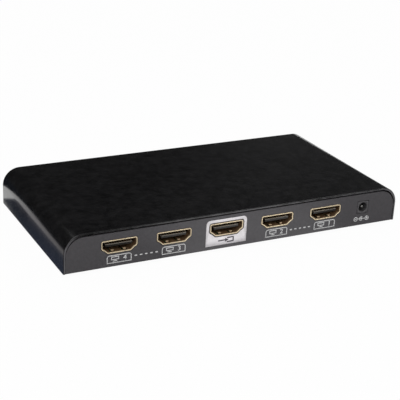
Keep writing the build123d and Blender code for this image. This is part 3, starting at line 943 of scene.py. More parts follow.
@dataclass
class Feet:
    """The four turned rubber feet, dished underneath."""

    names: tuple[str, ...] = ("foot_front_left", "foot_front_right", "foot_rear_left", "foot_rear_right")
    radius: float = 5.0
    taper: float = 0.4
    height: float = 2.0
    rounding: float = 0.45
    rounding_turn: Flat = (-90, -8)
    rounding_steps: int = 6
    dish: float = 0.25
    dish_radius: float = 2.7
    dish_slope: float = 0.5
    dish_bend: float = 0.15
    dish_bend_share: float = 0.6
    top_break: tuple[Flat, ...] = ((0.06, 0.08), (0.12, 0.0))
    mark_reach: float = 1.0
    sides: int = 72

    def profile(self) -> Loop:
        """Gives a foot's section from the dish to the face that sticks, as radius and height.

        Returns:
            The points from the axis out and back.
        """
        low_radius = self.radius - self.taper
        line: Loop = [
            (AXIS_GAP, self.dish), (self.dish_radius - self.dish_slope, self.dish),
            (self.dish_radius - self.dish_bend, self.dish * self.dish_bend_share), (self.dish_radius, 0.0),
        ]
        bend = (low_radius - self.rounding, self.rounding)
        line += arc(bend, self.rounding, *self.rounding_turn, self.rounding_steps)
        line += [(self.radius - inwards, self.height - down) for inwards, down in self.top_break]
        return line + [(AXIS_GAP, self.height)]

    def build(self) -> None:
        """Makes one foot for each CAD foot."""
        for name in self.names:
            low, high = box_mm(name)
            shape = Shape()
            middle = (low + high) / 2
            shape.lathe(self.profile(), (middle.x, middle.y, low.z), (0, 0, 1), self.sides)
            piece = shape.to_object(f"{name}_rubber")
            mark_edges(piece, self.mark_reach)
            place_piece(piece, Finishes.RUBBER, (name,))


class TreeSheet(NodeSheet):
    """A Geometry Nodes tree with named inputs."""

    def __init__(self, name: str) -> None:
        """Starts a tree of its own that takes and gives a geometry.

        Args:
            name: The tree's name.
        """
        super().__init__(bpy.data.node_groups.new(name, "GeometryNodeTree"))
        self.tree.interface.new_socket("Geometry", in_out="INPUT", socket_type="NodeSocketGeometry")
        self.tree.interface.new_socket("Geometry", in_out="OUTPUT", socket_type="NodeSocketGeometry")
        self.identifiers: dict[str, str] = {}
        self.given: bpy.types.Node | None = None

    def inputs(self, kinds: dict[str, str]) -> bpy.types.Node:
        """Names the tree's inputs.

        Args:
            kinds: The type of each input's socket by its name.

        Returns:
            The node that gives the inputs.
        """
        for name, kind in kinds.items():
            made = self.tree.interface.new_socket(name, in_out="INPUT", socket_type=kind)
            self.identifiers[name] = made.identifier
        self.given = self.add("NodeGroupInput")
        return self.given

    def vector(self, **parts: object) -> bpy.types.NodeSocket:
        """Joins parts named X, Y and Z into one vector and returns its output."""
        return self.add("ShaderNodeCombineXYZ", parts).outputs[0]

    def moved(self, geometry: bpy.types.NodeSocket, **values: object) -> bpy.types.NodeSocket:
        """Shifts, turns or scales a geometry and returns its output."""
        return self.add("GeometryNodeTransform", {"Geometry": geometry, **values}).outputs[0]

    def on_points(self, points: bpy.types.NodeSocket, shape: bpy.types.NodeSocket) -> bpy.types.NodeSocket:
        """Puts a shape on every point and returns the output."""
        return self.add("GeometryNodeInstanceOnPoints", {"Points": points, "Instance": shape}).outputs[0]

    def gather(
        self, kind: str, solids: list[bpy.types.NodeSocket], port: str, values: dict | None = None,
        **settings: object,
    ) -> bpy.types.NodeSocket:
        """Adds a node that takes several solids through one input.

        Args:
            kind: The node's type.
            solids: What goes in, in order.
            port: The name of the input that takes them.
            values: The node's other inputs by name.
            **settings: The node's own settings.

        Returns:
            The node's first output.
        """
        node = self.add(kind, values, **settings)
        for solid in solids:
            self.tree.links.new(solid, node.inputs[port])
        return node.outputs[0]

    def close(self, geometry: bpy.types.NodeSocket) -> None:
        """Realizes the instances, sets the material and ends the tree.

        Args:
            geometry: What the tree has made.
        """
        real = self.add("GeometryNodeRealizeInstances", {"Geometry": geometry}).outputs[0]
        material = self.given.outputs["Material"]
        dressed = self.add("GeometryNodeSetMaterial", {"Geometry": real, "Material": material})
        self.add("NodeGroupOutput", {0: dressed.outputs[0]})

    def grow(
        self, piece: bpy.types.Object, values: dict[str, object], sharp: float = SHARP_ANGLE
    ) -> bpy.types.Object:
        """Runs the tree on a piece.

        Args:
            piece: The mesh object that the tree starts from.
            values: Each input's value by its name.
            sharp: The angle in degrees above which an edge stays sharp.

        Returns:
            The piece as a plain mesh.
        """
        modifier = piece.modifiers.new("grow", "NODES")
        modifier.node_group = self.tree
        for name, value in values.items():
            modifier[self.identifiers[name]] = value
        return settle(piece, sharp)


def point_cloud(name: str, places: list[Triple]) -> bpy.types.Object:
    """Makes a mesh of loose points, given in millimetres, for a tree to start from.

    Args:
        name: The mesh's name.
        places: The points.

    Returns:
        The mesh object.
    """
    mesh = bpy.data.meshes.new(name)
    mesh.from_pydata([Vector(place) * MM for place in places], [], [])
    return put_in_scene(name, mesh)


@dataclass
class CoverScrews:
    """The four pan-head screws with crossed recesses, seen from below."""

    head_radius: float = 2.3
    head_height: float = 1.3
    head_sides: int = 48
    head_rings: int = 16
    rim_share: float = 0.55
    thread_radius: float = 1.25
    thread_length: float = 4.5
    thread_sides: int = 24
    recess_width: float = 0.55
    recess_length: float = 2.6
    recess_depth: float = 0.8
    recess_turn: float = 0.3
    sharp_angle: float = 28.0
    mark_reach: float = 1.0

    def sizes(self) -> dict[str, float]:
        """Gives the value of each size that the tree takes, in metres."""
        return {
            "Head radius": self.head_radius * MM, "Head height": self.head_height * MM,
            "Thread radius": self.thread_radius * MM, "Thread length": self.thread_length * MM,
            "Recess width": self.recess_width * MM, "Recess length": self.recess_length * MM,
            "Recess depth": self.recess_depth * MM,
        }

    def head(self, sheet: TreeSheet, size: bpy.types.NodeOutputs) -> bpy.types.NodeSocket:
        """Builds a head with its crossed recess upwards.

        Args:
            sheet: The tree that it goes into.
            size: The tree's named inputs.

        Returns:
            The head's output.
        """
        rim = sheet.math("MULTIPLY", size["Head height"], self.rim_share)
        barrel = sheet.add(
            "GeometryNodeMeshCylinder",
            {"Vertices": self.head_sides, "Radius": size["Head radius"], "Depth": rim},
        )
        half_up = sheet.vector(Z=sheet.math("MULTIPLY", rim, 0.5))
        wall = sheet.moved(barrel.outputs["Mesh"], Translation=half_up)
        ball = sheet.add(
            "GeometryNodeMeshUVSphere",
            {"Segments": self.head_sides, "Rings": self.head_rings, "Radius": size["Head radius"]},
        )
        rise = sheet.math("SUBTRACT", size["Head height"], rim)
        squeeze = sheet.math("DIVIDE", rise, size["Head radius"])
        flat = sheet.vector(X=1.0, Y=1.0, Z=squeeze)
        dome = sheet.moved(ball.outputs["Mesh"], Translation=sheet.vector(Z=rim), Scale=flat)
        whole = sheet.gather(
            "GeometryNodeMeshBoolean", [wall, dome], "Mesh 2", operation="UNION", solver="EXACT"
        )
        cut_depth = sheet.math("MULTIPLY", size["Recess depth"], 2.0)
        cuts = []
        for turn in (0.0, math.pi / 2):
            cut_size = sheet.vector(X=size["Recess length"], Y=size["Recess width"], Z=cut_depth)
            cut = sheet.add("GeometryNodeMeshCube", {"Size": cut_size}).outputs["Mesh"]
            top = sheet.vector(Z=size["Head height"])
            cuts.append(sheet.moved(cut, Translation=top, Rotation=(0.0, 0.0, turn)))
        return sheet.gather(
            "GeometryNodeMeshBoolean", cuts, "Mesh 2", {"Mesh 1": whole}, operation="DIFFERENCE",
            solver="EXACT",
        )

    def tree(self) -> TreeSheet:
        """Builds the tree that puts one screw on every point, its head down.

        Returns:
            The tree.
        """
        sheet = TreeSheet("cross_screws")
        kinds = {name: NUMBER for name in self.sizes()}
        size = sheet.inputs({**kinds, "Material": "NodeSocketMaterial"}).outputs
        rod = sheet.add(
            "GeometryNodeMeshCylinder",
            {"Vertices": self.thread_sides, "Radius": size["Thread radius"], "Depth": size["Thread length"]},
        )
        half_down = sheet.vector(Z=sheet.math("MULTIPLY", size["Thread length"], -0.5))
        thread = sheet.moved(rod.outputs["Mesh"], Translation=half_down)
        solids = [self.head(sheet, size), thread]
        whole = sheet.gather("GeometryNodeJoinGeometry", solids, "Geometry")
        turned = sheet.moved(whole, Rotation=(math.pi, 0.0, self.recess_turn))
        sheet.close(sheet.on_points(size["Geometry"], turned))
        return sheet

    def build(self) -> None:
        """Puts a screw at each of the four corners of the CAD screws."""
        low, high = box_mm("cover_screws")
        seat = low.z + self.head_height
        inset = self.head_radius
        places = [
            (x, y, seat) for x in (low.x + inset, high.x - inset) for y in (low.y + inset, high.y - inset)
        ]
        values = {**self.sizes(), "Material": Finishes.SCREW.value.build()}
        piece = self.tree().grow(point_cloud("cover_screw_set", places), values, self.sharp_angle)
        mark_edges(piece, self.mark_reach)
        place_piece(piece, Finishes.SCREW, ("cover_screws",), put_material=False)


# The sockets


@dataclass
class KeyedOutline:
    """The keyed outline of a video socket's opening, grown evenly and with rounded bends."""

    width: float = 13.9
    height: float = 4.55
    corner_shares: tuple[Flat, ...] = ((1.0, 1.0), (1.0, -0.222), (0.849, -0.486), (0.669, -1.0))
    bend: float = 0.38
    hollow_bend: float = 1.6
    least_bend: float = 0.2
    steps: int = 6

    def ring(self, growth: float) -> Loop:
        """Gives the outline's points about its own middle.

        Args:
            growth: How far the outline lies outside the opening, in millimetres.

        Returns:
            The points in x and z, clockwise as seen from the front.
        """
        right = [(x * self.width / 2, z * self.height / 2) for x, z in self.corner_shares]
        loop = right + [(-x, z) for x, z in reversed(right)]
        count = len(loop)
        ways = []
        for index in range(count):
            step = Vector(loop[(index + 1) % count]) - Vector(loop[index])
            ways.append(step.normalized())
        points: Loop = []
        for index in range(count):
            before, after = ways[index - 1], ways[index]
            out_before, out_after = Vector((-before.y, before.x)), Vector((-after.y, after.x))
            spread = growth * (out_before + out_after) / (1 + out_before.dot(out_after))
            corner = Vector(loop[index]) + spread
            turn = before.x * after.y - before.y * after.x
            angle = math.acos(max(-1.0, min(1.0, before.dot(after))))
            radius = self.bend + growth if turn < 0 else max(self.least_bend, self.hollow_bend - growth)
            side = -1 if turn < 0 else 1
            start = corner - before * radius * math.tan(angle / 2)
            centre = start + side * out_before * radius
            for step in range(self.steps + 1):
                swing = side * angle * step / self.steps
                arm = start - centre
                cos, sin = math.cos(swing), math.sin(swing)
                points.append((
                    centre.x + arm.x * cos - arm.y * sin, centre.y + arm.x * sin + arm.y * cos,
                ))
        return points


@dataclass
class SocketShell:
    """The gold-plated shell of a video socket, with its rolled mouth, spring fingers and legs."""

    outline: KeyedOutline
    sheet: float = 0.3
    flare: float = 0.1
    lip: float = 0.19
    lip_steps: int = 10
    lip_ease: Flat = (0.15, 0.02)
    rim_depth: float = 0.8
    rim_break: float = 0.06
    finger_width: float = 1.5
    finger_slot: float = 0.3
    finger_spacing: float = 5.0
    finger_tip: float = 1.0
    finger_root: float = 7.5
    finger_bump: float = 0.5
    bump_place: float = 0.95
    tip_lift_share: float = 0.75
    tip_curve: float = 1.5
    taper_place: float = 0.8
    taper_share: float = 0.35
    finger_steps: int = 16
    finger_sheet: float = 0.25
    slot_reach: float = 1.0
    leg_width: float = 1.3
    leg_depths: tuple[float, float] = (3.6, 9.2)
    leg_overlap: float = 1.0
    shade_reach: float = 0.5
    lit_crest_share: float = 0.52
    lit_crest_reach: float = 0.6
    mark_reach: float = 0.4

    def profile(self, length: float) -> Loop:
        """Gives the wall's section as pairs of depth behind the mouth and growth.

        Args:
            length: How far the shell goes back.

        Returns:
            The points, from the back end's inner face round the mouth to its outer face.
        """
        outer = self.sheet + self.flare
        lip = arc((self.lip, outer - self.lip), self.lip, 270, 90, self.lip_steps)
        inside = [(length, 0.0), (self.rim_depth, 0.0), (self.lip + self.lip_ease[0], self.lip_ease[1])]
        outside = [
            (self.rim_depth - self.rim_break, outer), (self.rim_depth, outer - self.rim_break),
            (self.rim_depth, self.sheet), (length, self.sheet),
        ]
        return inside + lip + outside

    def sink(self, share: float) -> float:
        """Gives how far a finger bows inwards at a share of its length from its root.

        Args:
            share: The share, 0 at the root and 1 at the tip.

        Returns:
            The way, in millimetres.
        """
        if share < self.bump_place:
            return self.finger_bump * math.sin(math.pi / 2 * share / self.bump_place) ** 2
        past = (share - self.bump_place) / (1 - self.bump_place)
        return self.finger_bump * (1 - self.tip_lift_share * past ** self.tip_curve)

    def finger(self, shape: Shape, x: float, wall: float, side: int, front: float) -> None:
        """Adds one bowed finger.

        Args:
            shape: Where it goes.
            x: Its middle.
            wall: The height of the wall's inner face.
            side: 1 for the upper wall and -1 for the lower.
            front: The y of the mouth.
        """
        reach = self.finger_root - self.finger_tip
        rings = []
        for step in range(self.finger_steps + 1):
            share = step / self.finger_steps
            y = front + self.finger_root - reach * share
            inner = wall - side * self.sink(share)
            outer = inner + side * self.finger_sheet
            past = max(0.0, share - self.taper_place) / (1 - self.taper_place)
            half = self.finger_width / 2 * (1 - self.taper_share * past)
            rings.append([
                Vector((x - half, y, inner)), Vector((x + half, y, inner)),
                Vector((x + half, y, outer)), Vector((x - half, y, outer)),
            ])
        shape.loft(rings)

    def mark_painted_shade(self, piece: bpy.types.Object, front: float, lit_crest: float | None = None) -> None:
        """Marks what lies behind the mouth for painted shade.

        Args:
            piece: The mesh object.
            front: The y of the mouth.
            lit_crest: A way behind the mouth at which the painted shade is lighter again, on a finger's
                crest that is rubbed and catches the light, if there is one.
        """

        def rule(point: Vector) -> float:
            """Gives how much painted shade a point gets.

            Args:
                point: The point, in millimetres.

            Returns:
                A value from 0 to 1.
            """
            way = point.y - front
            painted_shade = min(1.0, max(0.0, (way - self.lip / 2) / self.shade_reach))
            if lit_crest is None:
                return painted_shade
            return painted_shade * min(1.0, self.lit_crest_share + abs(way - lit_crest) / self.lit_crest_reach)

        mark_points(piece, "depth", rule)

    def wall(self, middle: Vector, length: float) -> Shape:
        """Shapes the keyed wall of a shell, without its slots.

        Args:
            middle: The middle of the opening, at the mouth.
            length: How far the shell goes back.

        Returns:
            The wall.
        """
        shape = Shape()
        shape.loft([
            [middle + Vector((x, depth, z)) for x, z in self.outline.ring(growth)]
            for depth, growth in self.profile(length)
        ], around=True)
        return shape

    def build(self, port: str) -> None:
        """Makes the shell of one port.

        Args:
            port: The port's name, to which its nodes' names are joined.
        """
        low, high = box_mm(f"{port}_shell")
        front = low.y
        middle = (low.x + high.x) / 2
        axis = high.z - self.sheet - self.flare - self.outline.height / 2
        wall = self.wall(Vector((middle, front, axis)), high.y - low.y)
        piece = wall.to_object(f"{port}_plated_shell")
        cuts, extras = Shape(), Shape()
        for side in (-1, 1):
            level = axis + side * self.outline.height / 2
            for x in (middle - self.finger_spacing / 2, middle + self.finger_spacing / 2):
                half = self.finger_width / 2 + self.finger_slot
                cuts.block(
                    (x - half, front + self.finger_tip - self.finger_slot, level - self.slot_reach),
                    (x + half, front + self.finger_root, level + self.slot_reach),
                )
                self.finger(extras, x, level, side, front)
            leg = middle + side * (self.outline.width + self.sheet) / 2
            for depth in self.leg_depths:
                y = front + depth
                extras.block(
                    (leg - self.sheet / 2, y - self.leg_width / 2, low.z),
                    (leg + self.sheet / 2, y + self.leg_width / 2, axis + self.leg_overlap),
                )
        knife = cuts.to_object(f"{port}_finger_slots")
        slots = piece.modifiers.new("slots", "BOOLEAN")
        slots.operation, slots.solver, slots.object = "DIFFERENCE", "EXACT", knife
        piece = settle(piece)
        bpy.data.objects.remove(knife)
        # The shell's inner faces get painted shade.
        self.mark_painted_shade(piece, front)
        fingers = extras.to_object(f"{port}_fingers")
        # Each finger's crest keeps less painted shade: rubbed metal that catches the light.
        bump = self.finger_tip + (1 - self.bump_place) * (self.finger_root - self.finger_tip)
        self.mark_painted_shade(fingers, front, bump)
        join(piece, fingers)
        mark_edges(piece, self.mark_reach)
        place_piece(piece, Finishes.SHELL, (f"{port}_shell",))


def join(piece: bpy.types.Object, other: bpy.types.Object) -> None:
    """Moves another object's mesh into a piece and removes the other.

    Args:
        piece: The mesh object that stays.
        other: The one that goes.
    """
    cage = bmesh.new()
    cage.from_mesh(piece.data)
    cage.from_mesh(other.data)
    cage.to_mesh(piece.data)
    cage.free()
    bpy.data.objects.remove(other)
    soften(piece.data)


@dataclass
class PowerSocket:
    """The power socket: a moulded block with a flared round mouth, and its centre pin."""

    corner: float = 0.35
    edge: float = 0.2
    edge_share: float = 0.3
    bore: float = 4.0
    bore_depth: float = 8.6
    mouth: float = 0.3
    mouth_shares: Flat = (0.3, 0.45)
    steps: int = 96
    pin: float = 1.3
    pin_gap: float = 0.01
    pin_sides: int = 40
    tip: tuple[Flat, ...] = ((0.45, 0.05), (0.75, 0.2), (0.94, 0.45), (1.0, 0.8))
    tail: float = 0.4
    shade_start: float = 0.6
    shade_reach: float = 0.5
    bore_margin: float = 0.05
    mark_reach: float = 0.6

    def square_ring(self, half: float) -> Loop:
        """Gives a rounded square with one point for each step of a turn.

        Args:
            half: Half of the square's width.

        Returns:
            The points about the square's middle.
        """
        points = []
        for step in range(self.steps):
            angle = 2 * math.pi * step / self.steps
            cos, sin = math.cos(angle), math.sin(angle)
            reach = self.corner + (half - self.corner) / max(abs(cos), abs(sin))
            points.append((reach * cos, reach * sin))
        return points

    def circle(self, radius: float) -> Loop:
        """Gives a circle with one point for each step of a turn."""
        turns = [2 * math.pi * step / self.steps for step in range(self.steps)]
        return [(radius * math.cos(turn), radius * math.sin(turn)) for turn in turns]

    def moulding(self, x: float, z: float) -> None:
        """Makes the moulded block.

        Args:
            x: Where the bore's axis lies.
            z: How high it lies.
        """
        low, high = box_mm("power_jack_housing")
        half = (high.x - low.x) / 2
        front, back, radius = low.y, high.y, self.bore / 2
        hole = self.pin / 2 + self.pin_gap
        break_in = self.edge * self.edge_share
        mouth_in, mouth_out = self.mouth * self.mouth_shares[0], self.mouth * self.mouth_shares[1]
        rings = [
            (front + self.edge, self.square_ring(half)),
            (front + break_in, self.square_ring(half - break_in)),
            (front, self.square_ring(half - self.edge)),
            (front, self.circle(radius + self.mouth)),
            (front + mouth_in, self.circle(radius + mouth_out)),
            (front + self.mouth, self.circle(radius)),
            (front + self.bore_depth, self.circle(radius)),
            (front + self.bore_depth, self.circle(hole)),
            (back, self.circle(hole)),
            (back, self.square_ring(half)),
        ]
        shape = Shape()
        shape.loft([[Vector((x + u, y, z + v)) for u, v in ring] for y, ring in rings], around=True)
        piece = shape.to_object("power_socket_block")
        mark_edges(piece, self.mark_reach)

        def rule(point: Vector) -> float:
            """Gives how much painted shade a point gets: nothing outside the bore.

            Args:
                point: The point, in millimetres.

            Returns:
                A value from 0 to 1.
            """
            if math.hypot(point.x - x, point.z - z) >= radius + self.bore_margin:
                return 0.0
            return min(1.0, max(0.0, (point.y - front - self.mouth) / self.shade_reach + self.shade_start))

        mark_points(piece, "depth", rule)
        place_piece(piece, Finishes.JACK, ("power_jack_housing",))

    def centre_pin(self, x: float, z: float) -> None:
        """Makes the pin on the bore's axis, with its flat tail.

        Args:
            x: Where the axis lies.
            z: How high it lies.
        """
        low, high = box_mm("power_jack_pin")
        reach = high.y - self.tail - low.y
        rod = self.pin / 2
        profile: Loop = [(AXIS_GAP, 0.0)] + [(rod * share, along) for share, along in self.tip]
        profile += [(rod, reach), (AXIS_GAP, reach)]
        turned = Shape()
        turned.lathe(profile, (x, low.y, z), (0, 1, 0), self.pin_sides)
        turned.block((low.x, high.y - self.tail, low.z), (high.x, high.y, high.z))
        place_piece(turned.to_object("power_socket_pin"), Finishes.PIN, ("power_jack_pin",))

    def build(self) -> None:
        """Makes the housing and the pin."""
        low, high = box_mm("power_jack_housing")
        x, z = (low.x + high.x) / 2, (low.z + high.z) / 2
        self.moulding(x, z)
        self.centre_pin(x, z)


@dataclass
class StatusLights:
    """The five flat-faced lights in the rear panel."""

    names: tuple[str, ...] = ("power_light", "light_1", "light_2", "light_3", "light_4")
    rounding: float = 0.28
    rounding_steps: int = 4

    def build(self) -> None:
        """Makes one lens for each CAD light."""
        for name in self.names:
            low, high = box_mm(name)
            shape = Shape()
            shape.block(tuple(low), tuple(high))
            piece = ease_edges(shape.to_object(f"{name}_lens"), self.rounding, self.rounding_steps)
            place_piece(piece, Finishes.LENS, (name,))


# Printed marks


@dataclass
class InkedMarks:
    """Marks that are printed on a panel as thin layers of ink."""

    face: float = 37.3
    ink: float = 0.03
    line: float = 0.34
    type_share: float = 1.38
    type_boldness: float = 0.06
    round_steps: int = 8
    circle_points: int = 24

    def flat_piece(
        self, name: str, loops: list[Loop], facing: Facing, finish: Finishes, raised: float = 0.0
    ) -> None:
        """Makes one printed piece.

        Args:
            name: The piece's name.
            loops: Its outlines in x and z, holes among them, in millimetres.
            facing: The panel that it lies on.
            finish: Its ink.
            raised: How thick the ink under it is, in millimetres.
        """
        curve = bpy.data.curves.new(name, "CURVE")
        curve.dimensions, curve.fill_mode = "2D", "BOTH"
        curve.extrude = self.ink * MM / 2
        for loop in loops:
            spline = curve.splines.new("POLY")
            spline.points.add(len(loop) - 1)
            for point, (u, v) in zip(spline.points, loop):
                point.co = (-facing.value * u * MM, v * MM, 0.0, 1.0)
            spline.use_cyclic_u = True
        self.lay(settle(put_in_scene(name, curve)), facing, finish, raised=raised)

    def lay(
        self, piece: bpy.types.Object, facing: Facing, finish: Finishes, shift: Flat = (0.0, 0.0),
        raised: float = 0.0,
    ) -> None:
        """Stands a flat mesh up against a panel.

        Args:
            piece: The mesh object, drawn in x and y.
            facing: The panel that it lies on.
            finish: Its ink.
            shift: Where its own origin goes on the panel, in x and z, in millimetres.
            raised: How thick the ink under it is, in millimetres.
        """
        upright = Matrix.Rotation(math.pi / 2, 4, "X")
        turned = Matrix.Rotation(math.pi if facing is Facing.REAR else 0.0, 4, "Z")
        y = facing.value * (self.face + raised + self.ink / 2)
        place = Matrix.Translation(Vector((shift[0], y, shift[1])) * MM)
        piece.data.transform(place @ turned @ upright)
        cage = bmesh.new()
        cage.from_mesh(piece.data)
        face_outwards(cage, piece.data)
        place_piece(piece, finish)

    def digit(self, name: str, glyph: Glyph, height: float, middle: Flat, facing: Facing) -> None:
        """Prints one digit.

        Args:
            name: The piece's name.
            glyph: The digit.
            height: How tall it is, in millimetres.
            middle: Its middle on the panel, in x and z.
            facing: The panel that it lies on.
        """
        text = bpy.data.curves.new(name, "FONT")
        text.body, text.size = glyph.value, height * MM * self.type_share
        text.align_x, text.align_y = "CENTER", "CENTER"
        text.extrude, text.offset = self.ink * MM / 2, self.type_boldness * MM
        self.lay(settle(put_in_scene(name, text)), facing, Finishes.INK_WHITE, middle)

    def arched_box(self, left: float, right: float, low: float, high: float, radius: float) -> Loop:
        """Gives a box whose two upper corners are rounded.

        Args:
            left: Its left side.
            right: Its right side.
            low: Its lower side.
            high: Its upper side.
            radius: The rounding of its upper corners.

        Returns:
            The outline.
        """
        right_arch = arc((right - radius, high - radius), radius, 0, 90, self.round_steps)
        left_arch = arc((left + radius, high - radius), radius, 90, 180, self.round_steps)
        return [(left, low), (right, low)] + right_arch + left_arch

    def rectangle(self, left: float, right: float, low: float, high: float) -> Loop:
        """Gives a plain rectangle."""
        return [(left, low), (right, low), (right, high), (left, high)]

    def circle(self, centre: Flat, radius: float) -> Loop:
        """Gives a closed circle."""
        steps = self.circle_points - 1
        return arc(centre, radius, 0, 360 * steps / self.circle_points, steps)

    def broken_ring(self, centre: Flat, radii: Flat, turn: Flat, steps: int) -> Loop:
        """Gives a ring that runs only between two angles in degrees."""
        outer = arc(centre, radii[0], turn[0], turn[1], steps)
        return outer + arc(centre, radii[1], turn[1], turn[0], steps)


@dataclass
class OutletLabels(InkedMarks):
    """The box under each outlet, with the sign of a screen and the outlet's digit."""

    box_width: float = 10.2
    box_low: float = 3.5
    box_high: float = 6.9
    box_round: float = 1.1
    sign_shift: float = 1.7
    sign_rise: float = 0.7
    sign_height: float = 2.1
    sign_width_share: float = 1.55
    sign_line_share: float = 0.17
    stand_share: float = 0.3
    foot_share: float = 0.28
    digit_shift: float = 2.4
    digit_height: float = 2.1

    def screen_sign(self, x: float, low: float) -> list[Loop]:
        """Gives the outlines of a small screen on a stand, from its middle and its lower line.

        Args:
            x: The middle of the sign.
            low: Its lower line.

        Returns:
            The outlines, holes among them.
        """
        size = self.sign_height
        width, line = size * self.sign_width_share, size * self.sign_line_share
        base, foot = low + size * self.stand_share, width * self.foot_share
        return [
            self.rectangle(x - width / 2, x + width / 2, base, low + size),
            self.rectangle(x - width / 2 + line, x + width / 2 - line, base + line, low + size - line),
            self.rectangle(x - foot, x + foot, low, low + line),
            self.rectangle(x - line / 2, x + line / 2, low + line, base),
        ]

    def build(self) -> None:
        """Prints the four labels."""
        for glyph in Glyph:
            low_corner, high_corner = box_mm(f"output_{glyph.value}_shell")
            x, line = (low_corner.x + high_corner.x) / 2, self.line
            left, right = x - self.box_width / 2, x + self.box_width / 2
            outer = self.arched_box(left, right, self.box_low, self.box_high, self.box_round)
            inner = self.arched_box(
                left + line, right - line, self.box_low + line, self.box_high - line, self.box_round - line
            )
            sign = self.screen_sign(x - self.sign_shift, self.box_low + self.sign_rise)
            name = f"outlet_{glyph.value}"
            self.flat_piece(f"{name}_box", [outer, inner], Facing.FRONT, Finishes.INK_WHITE)
            self.flat_piece(f"{name}_sign", sign, Facing.FRONT, Finishes.INK_WHITE)
            middle = (x + self.digit_shift, (self.box_low + self.box_high) / 2)
            self.digit(f"{name}_digit", glyph, self.digit_height, middle, Facing.FRONT)


@dataclass
class OutletDashes(InkedMarks):
    """The two rows of dashes between neighbouring outlets."""

    starts: tuple[float, ...] = (-45.7, 23.4)
    count: int = 5
    pitch: float = 2.18
    length: float = 1.05
    height: float = 0.5
    level: float = 5.3
    bend_share: float = 0.3
    bend_points: int = 4

    def tree(self) -> TreeSheet:
        """Builds the tree that lays a row of rounded dashes on the front panel from every point.

        Returns:
            The tree.
        """
        sheet = TreeSheet("dash_row")
        size = sheet.inputs({
            "Count": "NodeSocketInt", "Pitch": NUMBER, "Length": NUMBER, "Height": NUMBER, "Ink": NUMBER,
            "Material": "NodeSocketMaterial",
        }).outputs
        step = sheet.vector(X=size["Pitch"])
        line = sheet.add("GeometryNodeMeshLine", {"Count": size["Count"], "Offset": step}).outputs[0]
        shape = sheet.add("GeometryNodeCurvePrimitiveQuadrilateral", {0: size["Length"], 1: size["Height"]})
        bend = sheet.math("MULTIPLY", size["Height"], self.bend_share)
        soft = sheet.add(
            "GeometryNodeFilletCurve",
            {"Curve": shape.outputs[0], "Radius": bend, "Count": self.bend_points},
            mode="POLY",
        )
        filled = sheet.add("GeometryNodeFillCurve", {"Curve": soft.outputs[0]}, mode="NGONS")
        thick = sheet.add(
            "GeometryNodeExtrudeMesh", {"Mesh": filled.outputs[0], "Offset Scale": size["Ink"]}
        )
        upright = sheet.moved(thick.outputs[0], Rotation=(math.pi / 2, 0.0, 0.0))
        row = sheet.on_points(line, upright)
        sheet.close(sheet.on_points(size["Geometry"], row))
        return sheet

    def build(self) -> None:
        """Prints both rows."""
        places = [(x, -self.face, self.level) for x in self.starts]
        piece = self.tree().grow(point_cloud("outlet_dashes", places), {
            "Count": self.count, "Pitch": self.pitch * MM, "Length": self.length * MM,
            "Height": self.height * MM, "Ink": self.ink * MM,
            "Material": Finishes.INK_WHITE.value.build(),
        })
        place_piece(piece, Finishes.INK_WHITE, put_material=False)


@dataclass
class InputPatch(InkedMarks):
    """The pale patch round the input socket, with an arrow that points into a frame."""

    left: float = -15.8
    right: float = 2.35
    low: float = 3.7
    high: float = 14.8
    patch_round: float = 1.7
    shell_rim: float = 0.4
    gap: float = 0.9
    sign_rise: float = 1.9
    sign_line: float = 0.52
    arrow_tail: float = 3.6
    arrow_neck: float = 0.4
    arrow_tip: float = 1.2
    arrow_half: float = 0.85
    frame_open: float = 0.4
    frame_end: float = 3.5
    frame_half: float = 1.15

    def arrow(self, middle: float, level: float) -> Loop:
        """Gives the outline of an arrow to the right.

        Args:
            middle: The x of the input socket's middle.
            level: The height of the arrow's shaft.

        Returns:
            The outline.
        """
        tail, neck, half = middle - self.arrow_tail, middle - self.arrow_neck, self.sign_line / 2
        return [
            (tail, level - half), (neck, level - half), (neck, level - self.arrow_half),
            (middle + self.arrow_tip, level), (neck, level + self.arrow_half), (neck, level + half),
            (tail, level + half),
        ]

    def frame(self, middle: float, level: float) -> Loop:
        """Gives the outline of a frame that is open to the left.

        Args:
            middle: The x of the input socket's middle.
            level: The height of its middle.

        Returns:
            The outline.
        """
        left, right, line = middle + self.frame_open, middle + self.frame_end, self.sign_line
        low, high = level - self.frame_half, level + self.frame_half
        return [
            (left, high), (right, high), (right, low), (left, low), (left, low + line),
            (right - line, low + line), (right - line, high - line), (left, high - line),
        ]

    def build(self, outline: KeyedOutline) -> None:
        """Prints the patch and its sign.

        Args:
            outline: The outline of the socket's opening, round which the panel stays bare.
        """
        low, high = box_mm("input_shell")
        middle = (low.x + high.x) / 2
        axis = high.z - self.shell_rim - outline.height / 2
        hole = [(middle + x, axis + z) for x, z in outline.ring(self.gap)]
        patch = self.arched_box(self.left, self.right, self.low, self.high, self.patch_round)
        self.flat_piece("input_patch", [patch, hole], Facing.FRONT, Finishes.INK_PALE)
        level = self.low + self.sign_rise
        for name, loop in (("arrow", self.arrow(middle, level)), ("frame", self.frame(middle, level))):
            self.flat_piece(f"input_{name}", [loop], Facing.FRONT, Finishes.INK_DARK, self.ink)


